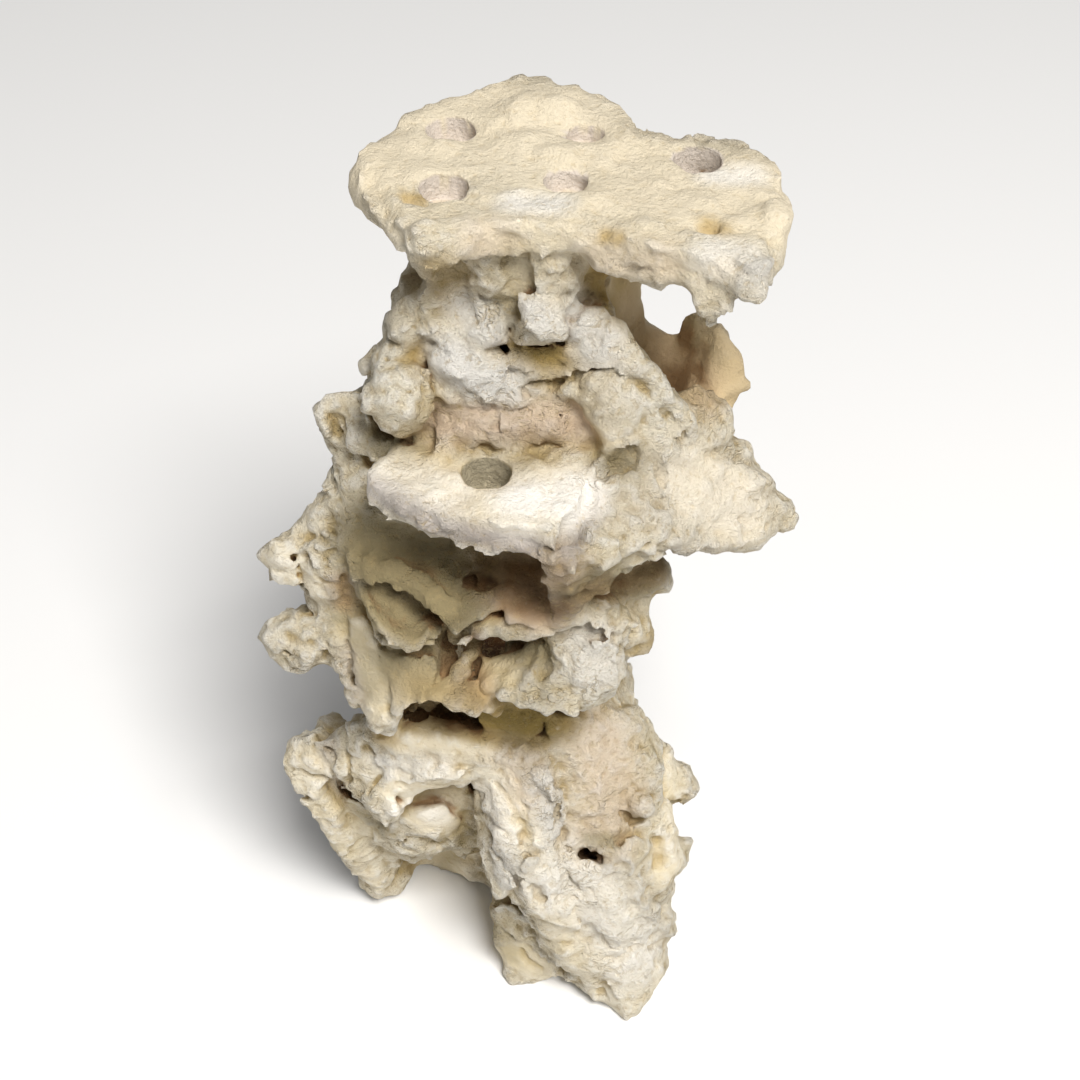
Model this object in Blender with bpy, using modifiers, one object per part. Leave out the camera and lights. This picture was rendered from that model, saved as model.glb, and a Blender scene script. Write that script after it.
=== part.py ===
"""Dry reef rock: a tower of bleached, porous coral rock with two flat drilled shelves.

One solid. It stands on its own feet, which are cut flat at z = 0. The view from -Y is its front.
Every place is (x, y, z, radius) in millimetres, and each form is the rounded body that wraps its balls.
"""

import math
import random

import bmesh
import bpy
from mathutils import Matrix, Vector

MM = 0.001

# Driving dimensions in millimetres.
TOP_SHELF_TOP = 305.0
TOP_SHELF_THICK = 11.0
MID_SHELF_TOP = 235.0
MID_SHELF_THICK = 8.0
VOXEL = 1.6
MOST_TRIANGLES = 8900
SEED = 11
DRILL_REACH = 20.0

# Outline of the broad top shelf, seen from above.
TOP_SHELF_EDGE = (
    (-41, 9), (-35, 20), (-25, 31), (-15, 39), (-10, 45), (2, 50), (15, 46), (27, 37), (33, 24),
    (40, 19), (49, 23), (60, 15), (65, 3), (66.5, -12), (64, -27), (59, -37), (48, -41), (37, -35),
    (27, -32), (18, -26), (10, -20), (-6, -20), (-14, -21), (-23, -22), (-33, -15), (-40, -4),
)

# Outline of the smaller shelf at the front.
MID_SHELF_EDGE = (
    (-38, -33), (-33, -42), (-23, -47), (-11, -52), (-4, -56), (1, -61), (11, -62), (16, -54),
    (20, -45), (23, -30), (24, -12), (10, 4), (-16, 4), (-22, -10), (-31, -24),
)

# Drilled holes: x and y of the mouth, width, depth and how far it leans in degrees.
TOP_HOLES = (
    (-16.5, 19.0, 12.0, 7.0, -12.0),
    (-17.0, -8.5, 12.0, 7.0, 0.0),
    (17.5, 17.0, 9.0, 5.0, 6.0),
    (12.0, -5.5, 10.5, 6.0, -8.0),
    (44.5, 5.0, 12.0, 8.0, 0.0),
)
MID_HOLE = (-7.7, -30.6, 13.0, 9.0, 0.0)


def clear_scene():
    for obj in list(bpy.data.objects):
        bpy.data.objects.remove(obj, do_unlink=True)


def wrap(form, *balls):
    """Add to the form the convex rounded body that wraps the balls."""
    cloud = bmesh.new()
    for x, y, z, radius in balls:
        place = Matrix.Translation(Vector((x, y, z)) * MM)
        bmesh.ops.create_icosphere(cloud, subdivisions=2, radius=radius * MM, matrix=place)
    points = [vert.co.copy() for vert in cloud.verts]
    cloud.free()
    body = bmesh.new()
    for point in points:
        body.verts.new(point)
    found = bmesh.ops.convex_hull(body, input=body.verts)
    loose = {part for part in found["geom_interior"] if isinstance(part, bmesh.types.BMVert)}
    bmesh.ops.delete(body, geom=list(loose), context="VERTS")
    mesh = bpy.data.meshes.new("wrapped")
    body.to_mesh(mesh)
    body.free()
    form.from_mesh(mesh)
    bpy.data.meshes.remove(mesh)


def chain(form, *balls):
    """A limb through the balls in turn."""
    for first, second in zip(balls, balls[1:]):
        wrap(form, first, second)


def sheet(form, upper, lower):
    """A wavy plate between two rows of balls."""
    for i in range(len(upper) - 1):
        wrap(form, upper[i], upper[i + 1], lower[i], lower[i + 1])


def slab(form, outline, top, thick, rounding):
    """A flat plate with the given outline and rounded edges."""
    curve = bpy.data.curves.new("outline", "CURVE")
    curve.dimensions = "2D"
    curve.fill_mode = "BOTH"
    curve.extrude = (thick / 2 - rounding) * MM
    curve.bevel_depth = rounding * MM
    curve.bevel_resolution = 2
    curve.offset = -rounding * MM
    spline = curve.splines.new("POLY")
    spline.points.add(len(outline) - 1)
    for point, (x, y) in zip(spline.points, outline):
        point.co = (x * MM, y * MM, 0, 1)
    spline.use_cyclic_u = True
    obj = bpy.data.objects.new("outline", curve)
    obj.location.z = (top - thick / 2) * MM
    bpy.context.scene.collection.objects.link(obj)
    bpy.context.view_layer.update()
    graph = bpy.context.evaluated_depsgraph_get()
    mesh = bpy.data.meshes.new_from_object(obj.evaluated_get(graph))
    mesh.transform(obj.matrix_world)
    plate = bmesh.new()
    plate.from_mesh(mesh)
    bmesh.ops.remove_doubles(plate, verts=plate.verts, dist=1e-6)
    plate.to_mesh(mesh)
    plate.free()
    form.from_mesh(mesh)
    bpy.data.meshes.remove(mesh)
    bpy.data.objects.remove(obj)
    bpy.data.curves.remove(curve)


def top_shelf(rock):
    slab(rock, TOP_SHELF_EDGE, TOP_SHELF_TOP, TOP_SHELF_THICK, 3.0)
    chain(rock, (20, -23, 296, 6), (33, -28, 296, 6), (43, -32, 298, 5.5), (54, -31, 296, 7), (58, -10, 297, 6))
    wrap(rock, (46, -35, 294, 5), (46, -36, 286.5, 3.5))
    wrap(rock, (-29, -8, 298, 5), (-21, -14, 294, 8), (-20, -15, 290.5, 6), (-14, -6, 290, 7))
    wrap(rock, (-22, 10, 295, 9), (0, 28, 294, 9), (18, 20, 293, 9), (5, -4, 291, 11))
    wrap(rock, (-4, 39, 301, 5), (10, 37, 300, 6))
    wrap(rock, (30, 2, 297, 8), (46, 4, 297, 8), (52, -14, 297, 8))


def neck(rock):
    wrap(rock, (6, 16, 288, 19), (2, 14, 262, 20))
    wrap(rock, (-7, -7, 294, 8), (16, -8, 294, 8), (2, -12, 278, 6), (9, -12, 278, 6))
    wrap(rock, (1, -13, 284, 6), (10, -13, 284, 6), (1, -17, 272, 4.5), (9.5, -17, 272, 4.5))
    chain(rock, (-14, 0, 288, 7), (-9, 2, 272, 8))
    chain(rock, (20, -5, 288, 6), (19, -7, 278, 5), (20, -8, 268, 6))
    sheet(
        rock,
        ((16, 10, 288, 7), (30, 22, 288, 6), (33, 34, 288, 5)),
        ((18, 10, 240, 7), (31, 24, 240, 6), (34, 34, 240, 5)),
    )


def second_tier(rock):
    wrap(rock, (-16, -13, 269, 5.5), (-9, -15, 263.5, 4.5), (-15, -11, 260, 6))
    wrap(rock, (-25, -5, 269.5, 8), (-18, 4, 266, 11), (-26, -3, 258, 9))
    wrap(rock, (-31, -12, 254, 8), (-31, -14, 243, 9), (-24, -8, 248, 8))
    wrap(rock, (-42, -4, 248.5, 3.5), (-34, -2, 249, 5))
    wrap(rock, (-20, -7, 250, 6), (-4, -8, 249, 6), (14, -4, 246, 7), (0, 14, 246, 16))
    chain(rock, (-19, -13, 249, 6), (-9, -15, 250, 5.5), (3, -14, 250, 5.5), (13, -12, 248, 5.5))
    wrap(rock, (-18, -8, 240, 8), (12, -8, 240, 8), (-6, -12, 238, 6))
    wrap(rock, (-50, -3, 235, 4), (-47, -2, 227, 5), (-36, 6, 228, 7))
    chain(rock, (-44, -4, 226, 5), (-45, -4, 212, 5), (-48, -4, 200, 6))
    wrap(rock, (22, -12, 248, 7), (23, -13, 238, 9), (17, -6, 246, 8))
    wrap(rock, (-5, 14, 262, 20), (-8, 16, 236, 26), (8, 16, 236, 22))


def right_ridge(rock):
    chain(rock, (14, -10, 269, 5), (24, -14, 262, 6.5), (33, -16, 252, 7), (42, -13, 243, 7), (50, -9, 232, 8))
    sheet(
        rock,
        ((29, -15, 250, 7), (44, -10, 236, 7), (59, -7, 217, 7), (68, -8, 207, 6)),
        ((25, -33, 221, 7), (42, -27, 209, 6), (57, -20, 204, 6), (70, -10, 205, 5.5)),
    )
    wrap(rock, (70, -9, 206, 6), (72, -10, 204, 5))
    wrap(rock, (42, -22, 207, 5), (60, -16, 204, 5), (64, -13, 204, 4))
    wrap(rock, (20, -36, 224, 7), (31, -36, 217, 6), (20, -20, 212, 10))
    wrap(rock, (34, -8, 226, 8), (30, 0, 206, 10), (44, -6, 218, 8))


def alcove_walls(rock):
    """The scooped shell behind the ridge, under the right of the top shelf."""
    sheet(
        rock,
        ((30, 30, 242, 4), (44, 29, 236, 3.5), (53, 22, 242, 3.5), (57, 12, 242, 3)),
        ((30, 24, 214, 8), (40, 22, 212, 8), (45, 14, 212, 8), (47, 2, 214, 8)),
    )
    wrap(rock, (57, 12, 241, 3), (61.5, 10, 233, 2.5), (53, 4, 228, 4))
    wrap(rock, (47, 2, 224, 6), (44, 4, 210, 9), (34, 10, 206, 14))


def mid_shelf(rock):
    slab(rock, MID_SHELF_EDGE, MID_SHELF_TOP, MID_SHELF_THICK, 2.0)
    wrap(rock, (-24, -34, 229, 5), (-4, -44, 228, 5), (7, -50, 227, 5), (13, -34, 226, 6), (-14, -20, 222, 8))
    wrap(rock, (6, -34, 222, 6), (4, -18, 216, 8), (14, -22, 218, 7))


def column(rock):
    wrap(rock, (-22, 16, 226, 20), (12, 16, 224, 22), (-18, 18, 150, 22), (10, 20, 150, 22))
    wrap(rock, (-20, 16, 150, 22), (10, 20, 150, 20), (-26, 18, 104, 22), (12, 20, 104, 22))
    wrap(rock, (-26, 22, 104, 20), (14, 20, 104, 22), (-20, 36, 14, 12), (26, 24, 14, 20))


def hollow_front(rock):
    """Thin curved plates under the middle shelf, whose lower lips stand proud of the dark gaps."""
    sheet(
        rock,
        ((-44, -4, 218, 5), (-38, -6, 216, 6), (-20, -4, 206, 7), (0, -4, 204, 7), (14, -8, 206, 8)),
        ((-44, -16, 192, 4), (-38, -24, 191, 2.2), (-23, -29, 187.5, 2.2), (-6, -29, 183.5, 2.5), (13, -30, 186, 4)),
    )
    sheet(
        rock,
        ((-44, -12, 190, 5), (-32, -8, 186, 5), (-18, -8, 184, 5), (2, -6, 184, 6)),
        ((-38, -24, 172, 3), (-30, -27, 169.5, 2.2), (-19, -27, 173, 2.2), (-6, -30, 178, 2.5)),
    )
    chain(rock, (-46, -9, 194, 5), (-50, -10, 168, 6), (-49, -12, 150, 6), (-43, -17, 137, 6))
    sheet(
        rock,
        ((-44, -8, 172, 6), (-26, -8, 166, 6), (-12, -10, 162, 5), (4, -12, 166, 6)),
        ((-40, -20, 144, 4), (-27, -27, 151, 2.5), (-10, -28, 152, 2.5), (6, -28, 154, 3)),
    )
    wrap(rock, (10, -24, 186, 6), (25, -26, 183, 6), (24, -27, 168, 7), (14, -31, 156, 3), (2, -18, 168, 6))
    wrap(rock, (-5, -27, 181, 3), (12, -30, 184, 4), (6, -12, 188, 6))
    wrap(rock, (24, -16, 172, 9), (33, -14, 164, 6), (20, -4, 148, 10))
    wrap(rock, (36, -14, 163, 5), (28, -8, 160, 8))


def left_knobs(rock):
    chain(rock, (-46, -4, 204, 8), (-59, -6, 192, 7), (-66, -5, 184, 6), (-67, -5, 178, 5))
    chain(rock, (-56, -5, 190, 6), (-58, -6, 176, 5), (-52, -4, 162, 8))
    wrap(rock, (-69, -5, 152, 6.5), (-62, -5, 148, 7), (-50, -2, 156, 9))
    wrap(rock, (-42, 4, 190, 12), (-42, 4, 146, 10))


def right_knobs(rock):
    sheet(rock, ((26, -8, 190, 7), (40, -5, 177, 4)), ((26, -8, 172, 8), (38, -5, 170, 4)))
    wrap(rock, (28, -2, 194, 8), (24, 2, 160, 9), (18, 6, 130, 12))


def lower_left(rock):
    """The folded rock at the lower left, open below its fold."""
    wrap(rock, (-64, 8, 92, 7), (-71.5, 6, 86, 5), (-56, 6, 92, 8), (-60, 12, 82, 10))
    sheet(
        rock,
        ((-68, 7, 86, 6), (-58, 14, 88, 8)),
        ((-49, 23, 5, 6), (-44, 28, 7, 8)),
    )
    chain(rock, (-64, 6, 74, 6), (-58, 11, 46, 7), (-50, 20, 14, 6))
    sheet(
        rock,
        ((-56, 2, 100, 6), (-40, -7, 116, 6), (-24, -11, 115, 7), (-8, -12, 114, 7)),
        ((-47, -3, 82, 5), (-41.5, -6, 78, 3.5), (-28, -12, 99, 3), (-14, -14, 104, 4)),
    )
    wrap(rock, (-38, 6, 62, 7), (-28, 4, 61, 7), (-30, 14, 46, 10))
    wrap(rock, (-40, 30, 60, 12), (-16, 26, 60, 14), (-34, 42, 8, 10), (-13, 37, 8, 10))
    chain(rock, (-38, -5, 118, 6), (-22, -12, 116, 6), (-4, -14, 116, 6))


def front_foot(rock):
    sheet(
        rock,
        ((-10, -9, 104, 6), (4, -9, 112, 7), (20, -6, 114, 9), (32, 0, 108, 10)),
        ((-8, -14, 66, 6), (6, -19, 66, 9), (22, -19, 62, 11), (41, -10, 60, 11)),
    )
    chain(rock, (2, -9, 112, 6), (-7, -11, 92, 7), (-6, -15, 68, 6), (2, -18, 48, 6))
    chain(rock, (5, -12, 115, 5.5), (1, -20, 94, 6), (4, -23, 76, 6.5), (7, -24, 56, 6), (15, -24, 36, 6))
    sheet(
        rock,
        ((-6, -14, 66, 6), (8, -19, 64, 9), (26, -18, 62, 11), (41, -8, 60, 10)),
        ((10, -18, 34, 6), (18, -20, 26, 8), (30, -20, 24, 9), (39, -6, 24, 8)),
    )
    wrap(rock, (17, -17, 28, 7), (22, -19, 8, 6), (35, -27, 2, 4), (41, -16, 12, 7), (38, -4, 20, 8))
    wrap(rock, (40, -8, 10, 7), (47, -7, 9, 3.5))
    wrap(rock, (-5, -3, 24, 8), (-3, -4, 6, 11), (13, -10, 5, 6), (12, 8, 40, 12), (6, 10, 6, 10))
    wrap(rock, (45, -12, 36, 5), (46, -10, 22, 4.5), (36, -8, 30, 8))


def right_lumps(rock):
    wrap(rock, (42, 8, 80, 10), (49, 9, 75, 8), (35, 10, 90, 9))
    wrap(rock, (42, 12, 36, 11), (50, 14, 34, 8.5))
    wrap(rock, (21, 0, 117, 8), (30, 4, 104, 8))
    wrap(rock, (37, 2, 60, 11), (35, 2, 20, 9))


def back_lumps(rock):
    """Knobs all over the side that faces away from the viewer."""
    rng = random.Random(SEED)
    for _ in range(46):
        height = rng.uniform(12, 285)
        turn = math.radians(rng.uniform(10, 170))
        wide = 38 if height < 230 else 20
        deep = 33 if height < 230 else 26
        x = wide * math.cos(turn) - 3
        y = 10 + deep * math.sin(turn)
        size = rng.uniform(5, 11)
        wrap(
            rock,
            (x * 0.82, 12 + (y - 12) * 0.8, height, size + 3),
            (x, y, height + rng.uniform(-6, 4), size),
        )


def front_hollows(gap):
    """Everything scooped out of the front and the right."""
    wrap(gap, (41, 0, 272, 13), (40, 6, 246, 14), (41, 4, 238, 10), (44, -26, 282, 6))
    wrap(gap, (43.5, 4, 272, 10), (43.5, 40, 244, 10), (43.5, 75, 212, 14))
    wrap(gap, (45.5, -27, 306, 2.5), (45.5, -26, 301, 2))
    wrap(gap, (24, -35, 236, 5), (30, -34, 227, 5), (27, -31, 219, 4))
    wrap(gap, (-6, -14, 260, 3), (12, -14, 260, 4.5), (4, -6, 259, 6))
    wrap(gap, (-14, -19, 240.5, 4), (-6, -18, 241, 5), (6, -19, 240.5, 4.5), (-4, -30, 240.5, 3.5))
    wrap(gap, (-62, -13.5, 193, 1.8), (-63, -13.5, 171, 2.2))
    wrap(gap, (-37, -10, 230, 4), (-39, -14, 227, 5))
    wrap(gap, (-36, -24, 206, 7), (-20, -24, 204, 10), (0, -24, 203, 11), (12, -32, 205, 7))
    wrap(gap, (-34, -24, 181, 4), (-24, -22, 180, 6), (-15, -24, 178, 4))
    wrap(gap, (-9, -18, 174, 4), (-8, 8, 160, 5))
    wrap(gap, (-18, -22, 165, 4.5), (-18, -8, 158, 4))
    wrap(gap, (-9, -6, 198, 4), (-9, 6, 190, 3))
    wrap(gap, (4, -26, 172, 4), (-4, -26, 166, 5), (0, -20, 162, 4))
    wrap(gap, (-34, -18, 136, 6), (-16, -18, 137, 9), (-28, 2, 132, 6), (-4, -14, 138, 7))
    wrap(gap, (-4, -24, 142, 5), (14, -24, 144, 5), (4, -12, 138, 6))
    wrap(gap, (-40, -12, 68, 7), (-22, -8, 76, 11), (-34, 4, 62, 12), (-24, 6, 42, 16), (-26, -8, 20, 18))
    wrap(gap, (-32, 14, 18, 14), (-12, 8, 30, 8), (-24, -8, 10, 20))
    wrap(gap, (21, -34, 86, 3), (21, -20, 74, 3.5), (24, 62, 6, 9))
    wrap(gap, (25, -27, 101, 6), (30, -28, 87, 8), (24, -30, 77, 5))
    wrap(gap, (20, 30, 34, 10), (22, 70, 10, 16))
    wrap(gap, (-6, -24, 32, 8), (-2, -34, 24, 14), (2, -34, 4, 8))


def solid_from(form, name, collection):
    mesh = bpy.data.meshes.new(name)
    form.to_mesh(mesh)
    form.free()
    obj = bpy.data.objects.new(name, mesh)
    collection.objects.link(obj)
    remesh = obj.modifiers.new("Fuse", "REMESH")
    remesh.mode = "VOXEL"
    remesh.voxel_size = VOXEL * MM
    settle(obj)
    return obj


def settle(obj):
    """Apply the object's modifiers."""
    bpy.context.view_layer.update()
    graph = bpy.context.evaluated_depsgraph_get()
    mesh = bpy.data.meshes.new_from_object(obj.evaluated_get(graph))
    old = obj.data
    obj.modifiers.clear()
    obj.data = mesh
    bpy.data.meshes.remove(old)


def keep_largest_shell(obj):
    """Drop loose crumbs and sealed bubbles."""
    body = bmesh.new()
    body.from_mesh(obj.data)
    unseen = set(body.verts)
    shells = []
    while unseen:
        shell = {unseen.pop()}
        edge_of_shell = list(shell)
        while edge_of_shell:
            vert = edge_of_shell.pop()
            for edge in vert.link_edges:
                other = edge.other_vert(vert)
                if other not in shell:
                    shell.add(other)
                    edge_of_shell.append(other)
        unseen -= shell
        shells.append(shell)
    biggest = max(shells, key=len)
    loose = [vert for vert in body.verts if vert not in biggest]
    bmesh.ops.delete(body, geom=loose, context="VERTS")
    body.to_mesh(obj.data)
    body.free()


def weather(obj):
    """Soften the joints between forms, then roughen the surface."""
    smooth = obj.modifiers.new("Soften", "SMOOTH")
    smooth.iterations = 3
    smooth.factor = 0.5
    for name, kind, size, strength in (("Swell", "CLOUDS", 14, 5.5), ("Crumple", "CLOUDS", 6, 3.4)):
        texture = bpy.data.textures.new(name, kind)
        texture.noise_scale = size * MM
        displace = obj.modifiers.new(name, "DISPLACE")
        displace.texture = texture
        displace.texture_coords = "GLOBAL"
        displace.strength = strength * MM
        displace.mid_level = 0.56
    fuse = obj.modifiers.new("Fuse", "REMESH")
    fuse.mode = "VOXEL"
    fuse.voxel_size = VOXEL * MM
    settle(obj)


def thin_out(obj):
    """Bring the mesh down to the triangles that its shape needs."""
    triangles = sum(len(face.vertices) - 2 for face in obj.data.polygons)
    thin = obj.modifiers.new("Thin", "DECIMATE")
    thin.ratio = MOST_TRIANGLES / triangles
    thin.use_collapse_triangulate = True
    settle(obj)


def cutter(name, mesh_maker, collection):
    body = bmesh.new()
    mesh_maker(body)
    mesh = bpy.data.meshes.new(name)
    body.to_mesh(mesh)
    body.free()
    obj = bpy.data.objects.new(name, mesh)
    obj.hide_render = True
    obj.display_type = "WIRE"
    collection.objects.link(obj)
    return obj


def cut(obj, tool, name):
    boolean = obj.modifiers.new(name, "BOOLEAN")
    boolean.operation = "DIFFERENCE"
    boolean.solver = "EXACT"
    boolean.object = tool


def add_box(body):
    """A block under the floor that cuts the feet flat."""
    side = 400 * MM
    bmesh.ops.create_cube(body, size=side, matrix=Matrix.Translation((0, 0, -side / 2)))


def drill(body, top, x, y, width, depth, lean):
    """A round cutter that stands well out of the mouth of the hole."""
    turn = Matrix.Rotation(math.radians(lean), 4, "Y")
    place = Matrix.Translation(Vector((x, y, top)) * MM) @ turn
    shift = Matrix.Translation((0, 0, (DRILL_REACH - depth) / 2 * MM))
    bmesh.ops.create_cone(
        body,
        cap_ends=True,
        segments=24,
        radius1=width / 2 * MM,
        radius2=width / 2 * MM,
        depth=(DRILL_REACH + depth) * MM,
        matrix=place @ shift,
    )


def add_drills(body):
    for hole in TOP_HOLES:
        drill(body, TOP_SHELF_TOP, *hole)
    drill(body, MID_SHELF_TOP, *MID_HOLE)


def centre(obj):
    """Put the middle of the rock's outline, seen from above, over the origin."""
    corners = [Vector(corner) for corner in obj.bound_box]
    low = Vector(map(min, zip(*corners)))
    high = Vector(map(max, zip(*corners)))
    middle = (low + high) / 2
    obj.data.transform(Matrix.Translation((-middle.x, -middle.y, 0)))


def reef_stone():
    material = bpy.data.materials.new("reef_stone")
    material.use_nodes = True
    shader = material.node_tree.nodes["Principled BSDF"]
    shader.inputs["Base Color"].default_value = (0.76, 0.68, 0.53, 1)
    shader.inputs["Roughness"].default_value = 0.95
    shader.inputs["Metallic"].default_value = 0.0
    return material


def build():
    clear_scene()
    parts = bpy.data.collections.new("dry_reef_rock")
    tools = bpy.data.collections.new("cutters")
    bpy.context.scene.collection.children.link(parts)
    bpy.context.scene.collection.children.link(tools)

    form = bmesh.new()
    for add in (
        top_shelf, neck, second_tier, right_ridge, alcove_walls, mid_shelf, column, hollow_front,
        left_knobs, right_knobs, lower_left, front_foot, right_lumps, back_lumps,
    ):
        add(form)
    rock = solid_from(form, "reef_rock", parts)

    form = bmesh.new()
    front_hollows(form)
    hollows = solid_from(form, "hollows", tools)
    hollows.hide_render = True
    hollows.display_type = "WIRE"
    cut(rock, hollows, "Scoop")
    settle(rock)
    weather(rock)
    keep_largest_shell(rock)
    thin_out(rock)
    cut(rock, cutter("floor_block", add_box, tools), "Stand")
    cut(rock, cutter("drills", add_drills, tools), "Drill")
    settle(rock)
    keep_largest_shell(rock)
    centre(rock)
    rock.data.materials.clear()
    rock.data.materials.append(reef_stone())
    rock.data.shade_smooth()
    rock.data.set_sharp_from_angle(angle=math.radians(35))


build()
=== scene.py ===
"""Dry reef rock: the bleached, crumbling surface that stands for the frame's plain solid.

The solid's distance field is sampled on a grid in millimetres. The fine forms are joined to it and cut
out of it there, and the field is turned back into one closed mesh with a procedural stone.
"""

import copy
import itertools
import math

import bmesh
import bpy
import numpy as np
import openvdb
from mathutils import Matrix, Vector


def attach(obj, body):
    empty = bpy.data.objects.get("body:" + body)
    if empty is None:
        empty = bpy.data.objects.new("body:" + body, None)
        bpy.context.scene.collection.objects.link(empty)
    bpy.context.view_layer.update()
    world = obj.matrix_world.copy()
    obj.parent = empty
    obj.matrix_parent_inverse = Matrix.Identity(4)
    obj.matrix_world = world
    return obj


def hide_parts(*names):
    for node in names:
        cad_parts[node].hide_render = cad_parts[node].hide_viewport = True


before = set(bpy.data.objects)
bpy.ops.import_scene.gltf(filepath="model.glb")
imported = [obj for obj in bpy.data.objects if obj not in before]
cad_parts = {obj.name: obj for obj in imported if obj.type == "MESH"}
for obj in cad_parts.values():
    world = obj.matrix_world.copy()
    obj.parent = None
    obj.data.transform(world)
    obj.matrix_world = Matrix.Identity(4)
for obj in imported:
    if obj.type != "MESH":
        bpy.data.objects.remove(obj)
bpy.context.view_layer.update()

NAME = "reef_rock_surface"
MM = 0.001
SEED = 7
TINY = 1e-6
FAR = 1e9

# The grid, in millimetres: cell size, how far true distances reach, the room round the rock and round
# one form, and the step that slopes are measured over. LAST_CELL keeps samples inside the last cell.
CELL = 0.8
REACH = 9.0
ROOM = 9.0
FORM_ROOM = 2
SLOPE_STEP = 1.6
LAST_CELL = 1.001
# How many times the solid is smoothed, and the copy that worn places are blended towards, and the share
# of a worn place's reach over which it fades.
FIRST_SMOOTH = 3
WORN_SMOOTH = 8
WORN_EDGE = 0.35
# The mesh: its size, and the angle in degrees from which an edge is shaded sharp.
MOST_TRIANGLES = 194000
SHARP_EDGE = 38.0

# Strokes: points STROKE_STEP pixels apart, broken where the surface jumps by over STROKE_JUMP mm, with
# thinner ends. Their meeting lines, and those of leaves, are rounded by a share of their size.
STROKE_STEP = 5.0
STROKE_JUMP = 7.0
END_SHARE = 0.55
BLEND_SHARE = 0.5
# The rounding of the other forms' meeting lines, in millimetres.
BLOCK_BLEND = 1.8
SHELF_BLEND = 1.0
HOLLOW_BLEND = 1.0
SOCKET_BLEND = 0.7
PIT_BLEND = 0.4
# How far round a shelf's free edges the rock is cleared, and the room over a shelf and over a socket.
SHELF_CLEAR = 7.0
SHELF_ABOVE = 4
SOCKET_ABOVE = 12

# Chips: size, lean across one chip and step between chips. They reach CHIP_BAND from the surface, and
# each chip's seed stays inside its cell.
CHIPS = ((12.0, 1.1, 0.32), (6.0, 0.8, 0.2), (3.0, 0.7, 0.16))
CHIP_BAND = 3.0
CHIP_SEEDS = (0.15, 0.85)
# Swells under the chips, which worn places keep a part of, and crumbs over the chips. The top shelf is
# calmer by a share, which starts under the shelf's top and is full after CALM_RUN millimetres.
SWELL_SIZE = 7.0
SWELL_HEIGHT = 0.35
SWELL_LEAST = 0.4
CRUMB_SIZE = 1.3
CRUMB_HEIGHT = 0.26
CRUMB_LEVEL = 0.8
CALM_SHARE = 0.4
CALM_START = 2.5
CALM_RUN = 2
# Sideways wander of the surface: the noise's size, how far it pushes, how near the surface it acts,
# and how much less worn places move.
WANDER_SIZE = 2.6
WANDER_PUSH = 0.45
WANDER_BAND = 3.5
WANDER_HOLD = 0.8
# Small round pits: how many, their radii, and how far out their centres stand, in radii.
PIT_COUNT = 24
PIT_SIZES = (0.5, 0.9)
PIT_OUT = 0.35

# Openness to the sky: directions tried, distances along each, where each starts, and the least facing.
# The stone paints shade where the sky is less open.
SKY_WAYS = 36
SKY_STEPS = (1.6, 2.6, 4.0, 6.0, 9.0, 13.0, 19.0, 27.0, 38.0, 52.0)
SKY_START = 0.8
SKY_LEAST = 0.05
# What stands out of the blurred rock, in two grains: the field's limit, how often it is blurred, and
# the gain. The stone paints highlights where the rock stands out and shade in the crevices.
GRAINS = {"edge": (4, 4, 0.5), "fine": (3, 1, 2.2)}
# A tint ends at this many times its reach, and fades over the last one of them.
TINT_EDGE = 1.4
# A drilled socket's tint: how far it passes the wall and starts under the mouth, how far it passes the
# floor, and how far up stone has to look to count as floor.
SOCKET_ROOM = 0.6
SOCKET_BELOW = 1.5
LOOKS_UP = 0.8

# The camera, in millimetres and degrees, its focal length in pixels of the 1080 by 1080 frame, and the
# nearest and farthest distances at which the rock is looked for.
EYE = (5.1, -420.9, 555.0)
PITCH = 41.0
FOCAL = 2000.0
FRAME_SIDE = 1080
SENSOR = 36.0
CLIP_START = 0.01
SIGHT = (330, 760)

# The light and the floor, in metres and watts.
KEY_PLACE = (0.5, -1.25, 2.1)
KEY_TARGET = (0, 0, 0.16)
KEY_SIDE = 0.8
KEY_POWER = 80.0
KEY_COLOUR = (1, 0.98, 0.95)
WORLD_STRENGTH = 0.22
FLOOR_SIDE = 8
FLOOR_COLOUR = (0.88, 0.88, 0.88, 1)
FLOOR_ROUGHNESS = 0.9

# Flat shelf tops, and the drilled sockets: x, y, width, depth and lean in degrees.
TOP_SHELF_TOP = 305.0
MID_SHELF_TOP = 235.0
TOP_SOCKETS = (
    (-17.4, 23.1, 12.0, 7.0, -12.0),
    (-17.9, -4.4, 12.0, 7.0, 0.0),
    (16.6, 21.1, 9.0, 5.0, 6.0),
    (11.1, -1.4, 10.5, 6.0, -8.0),
    (43.6, 9.1, 12.0, 8.0, 0.0),
)
MID_SOCKETS = ((-8.6, -26.5, 13.0, 9.0, 0.0),)
# The sockets' grey tint, full on their walls and weaker on their floors: the shelf's top, its sockets,
# how strongly their floors are tinted, and two colours.
DRILLED = {
    "drilled": (TOP_SHELF_TOP, TOP_SOCKETS, 0.4, (0.64, 0.56, 0.48), (0.76, 0.68, 0.60)),
    "drilled_olive": (MID_SHELF_TOP, MID_SOCKETS, 1, (0.46, 0.40, 0.27), (0.56, 0.49, 0.35)),
}

# The stone's noises: scale, detail and roughness.
NOISES = {
    "broad": (45, 4, 0.6),
    "patch": (120, 5, 0.6),
    "crumb": (420, 6, 0.7),
    "grain": (1100, 4, 0.7),
    "zone": (70, 3, 0.6),
}
BASE = ((0.3, (0.80, 0.70, 0.49)), (0.5, (0.84, 0.75, 0.57)), (0.7, (0.88, 0.82, 0.68)))
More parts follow.
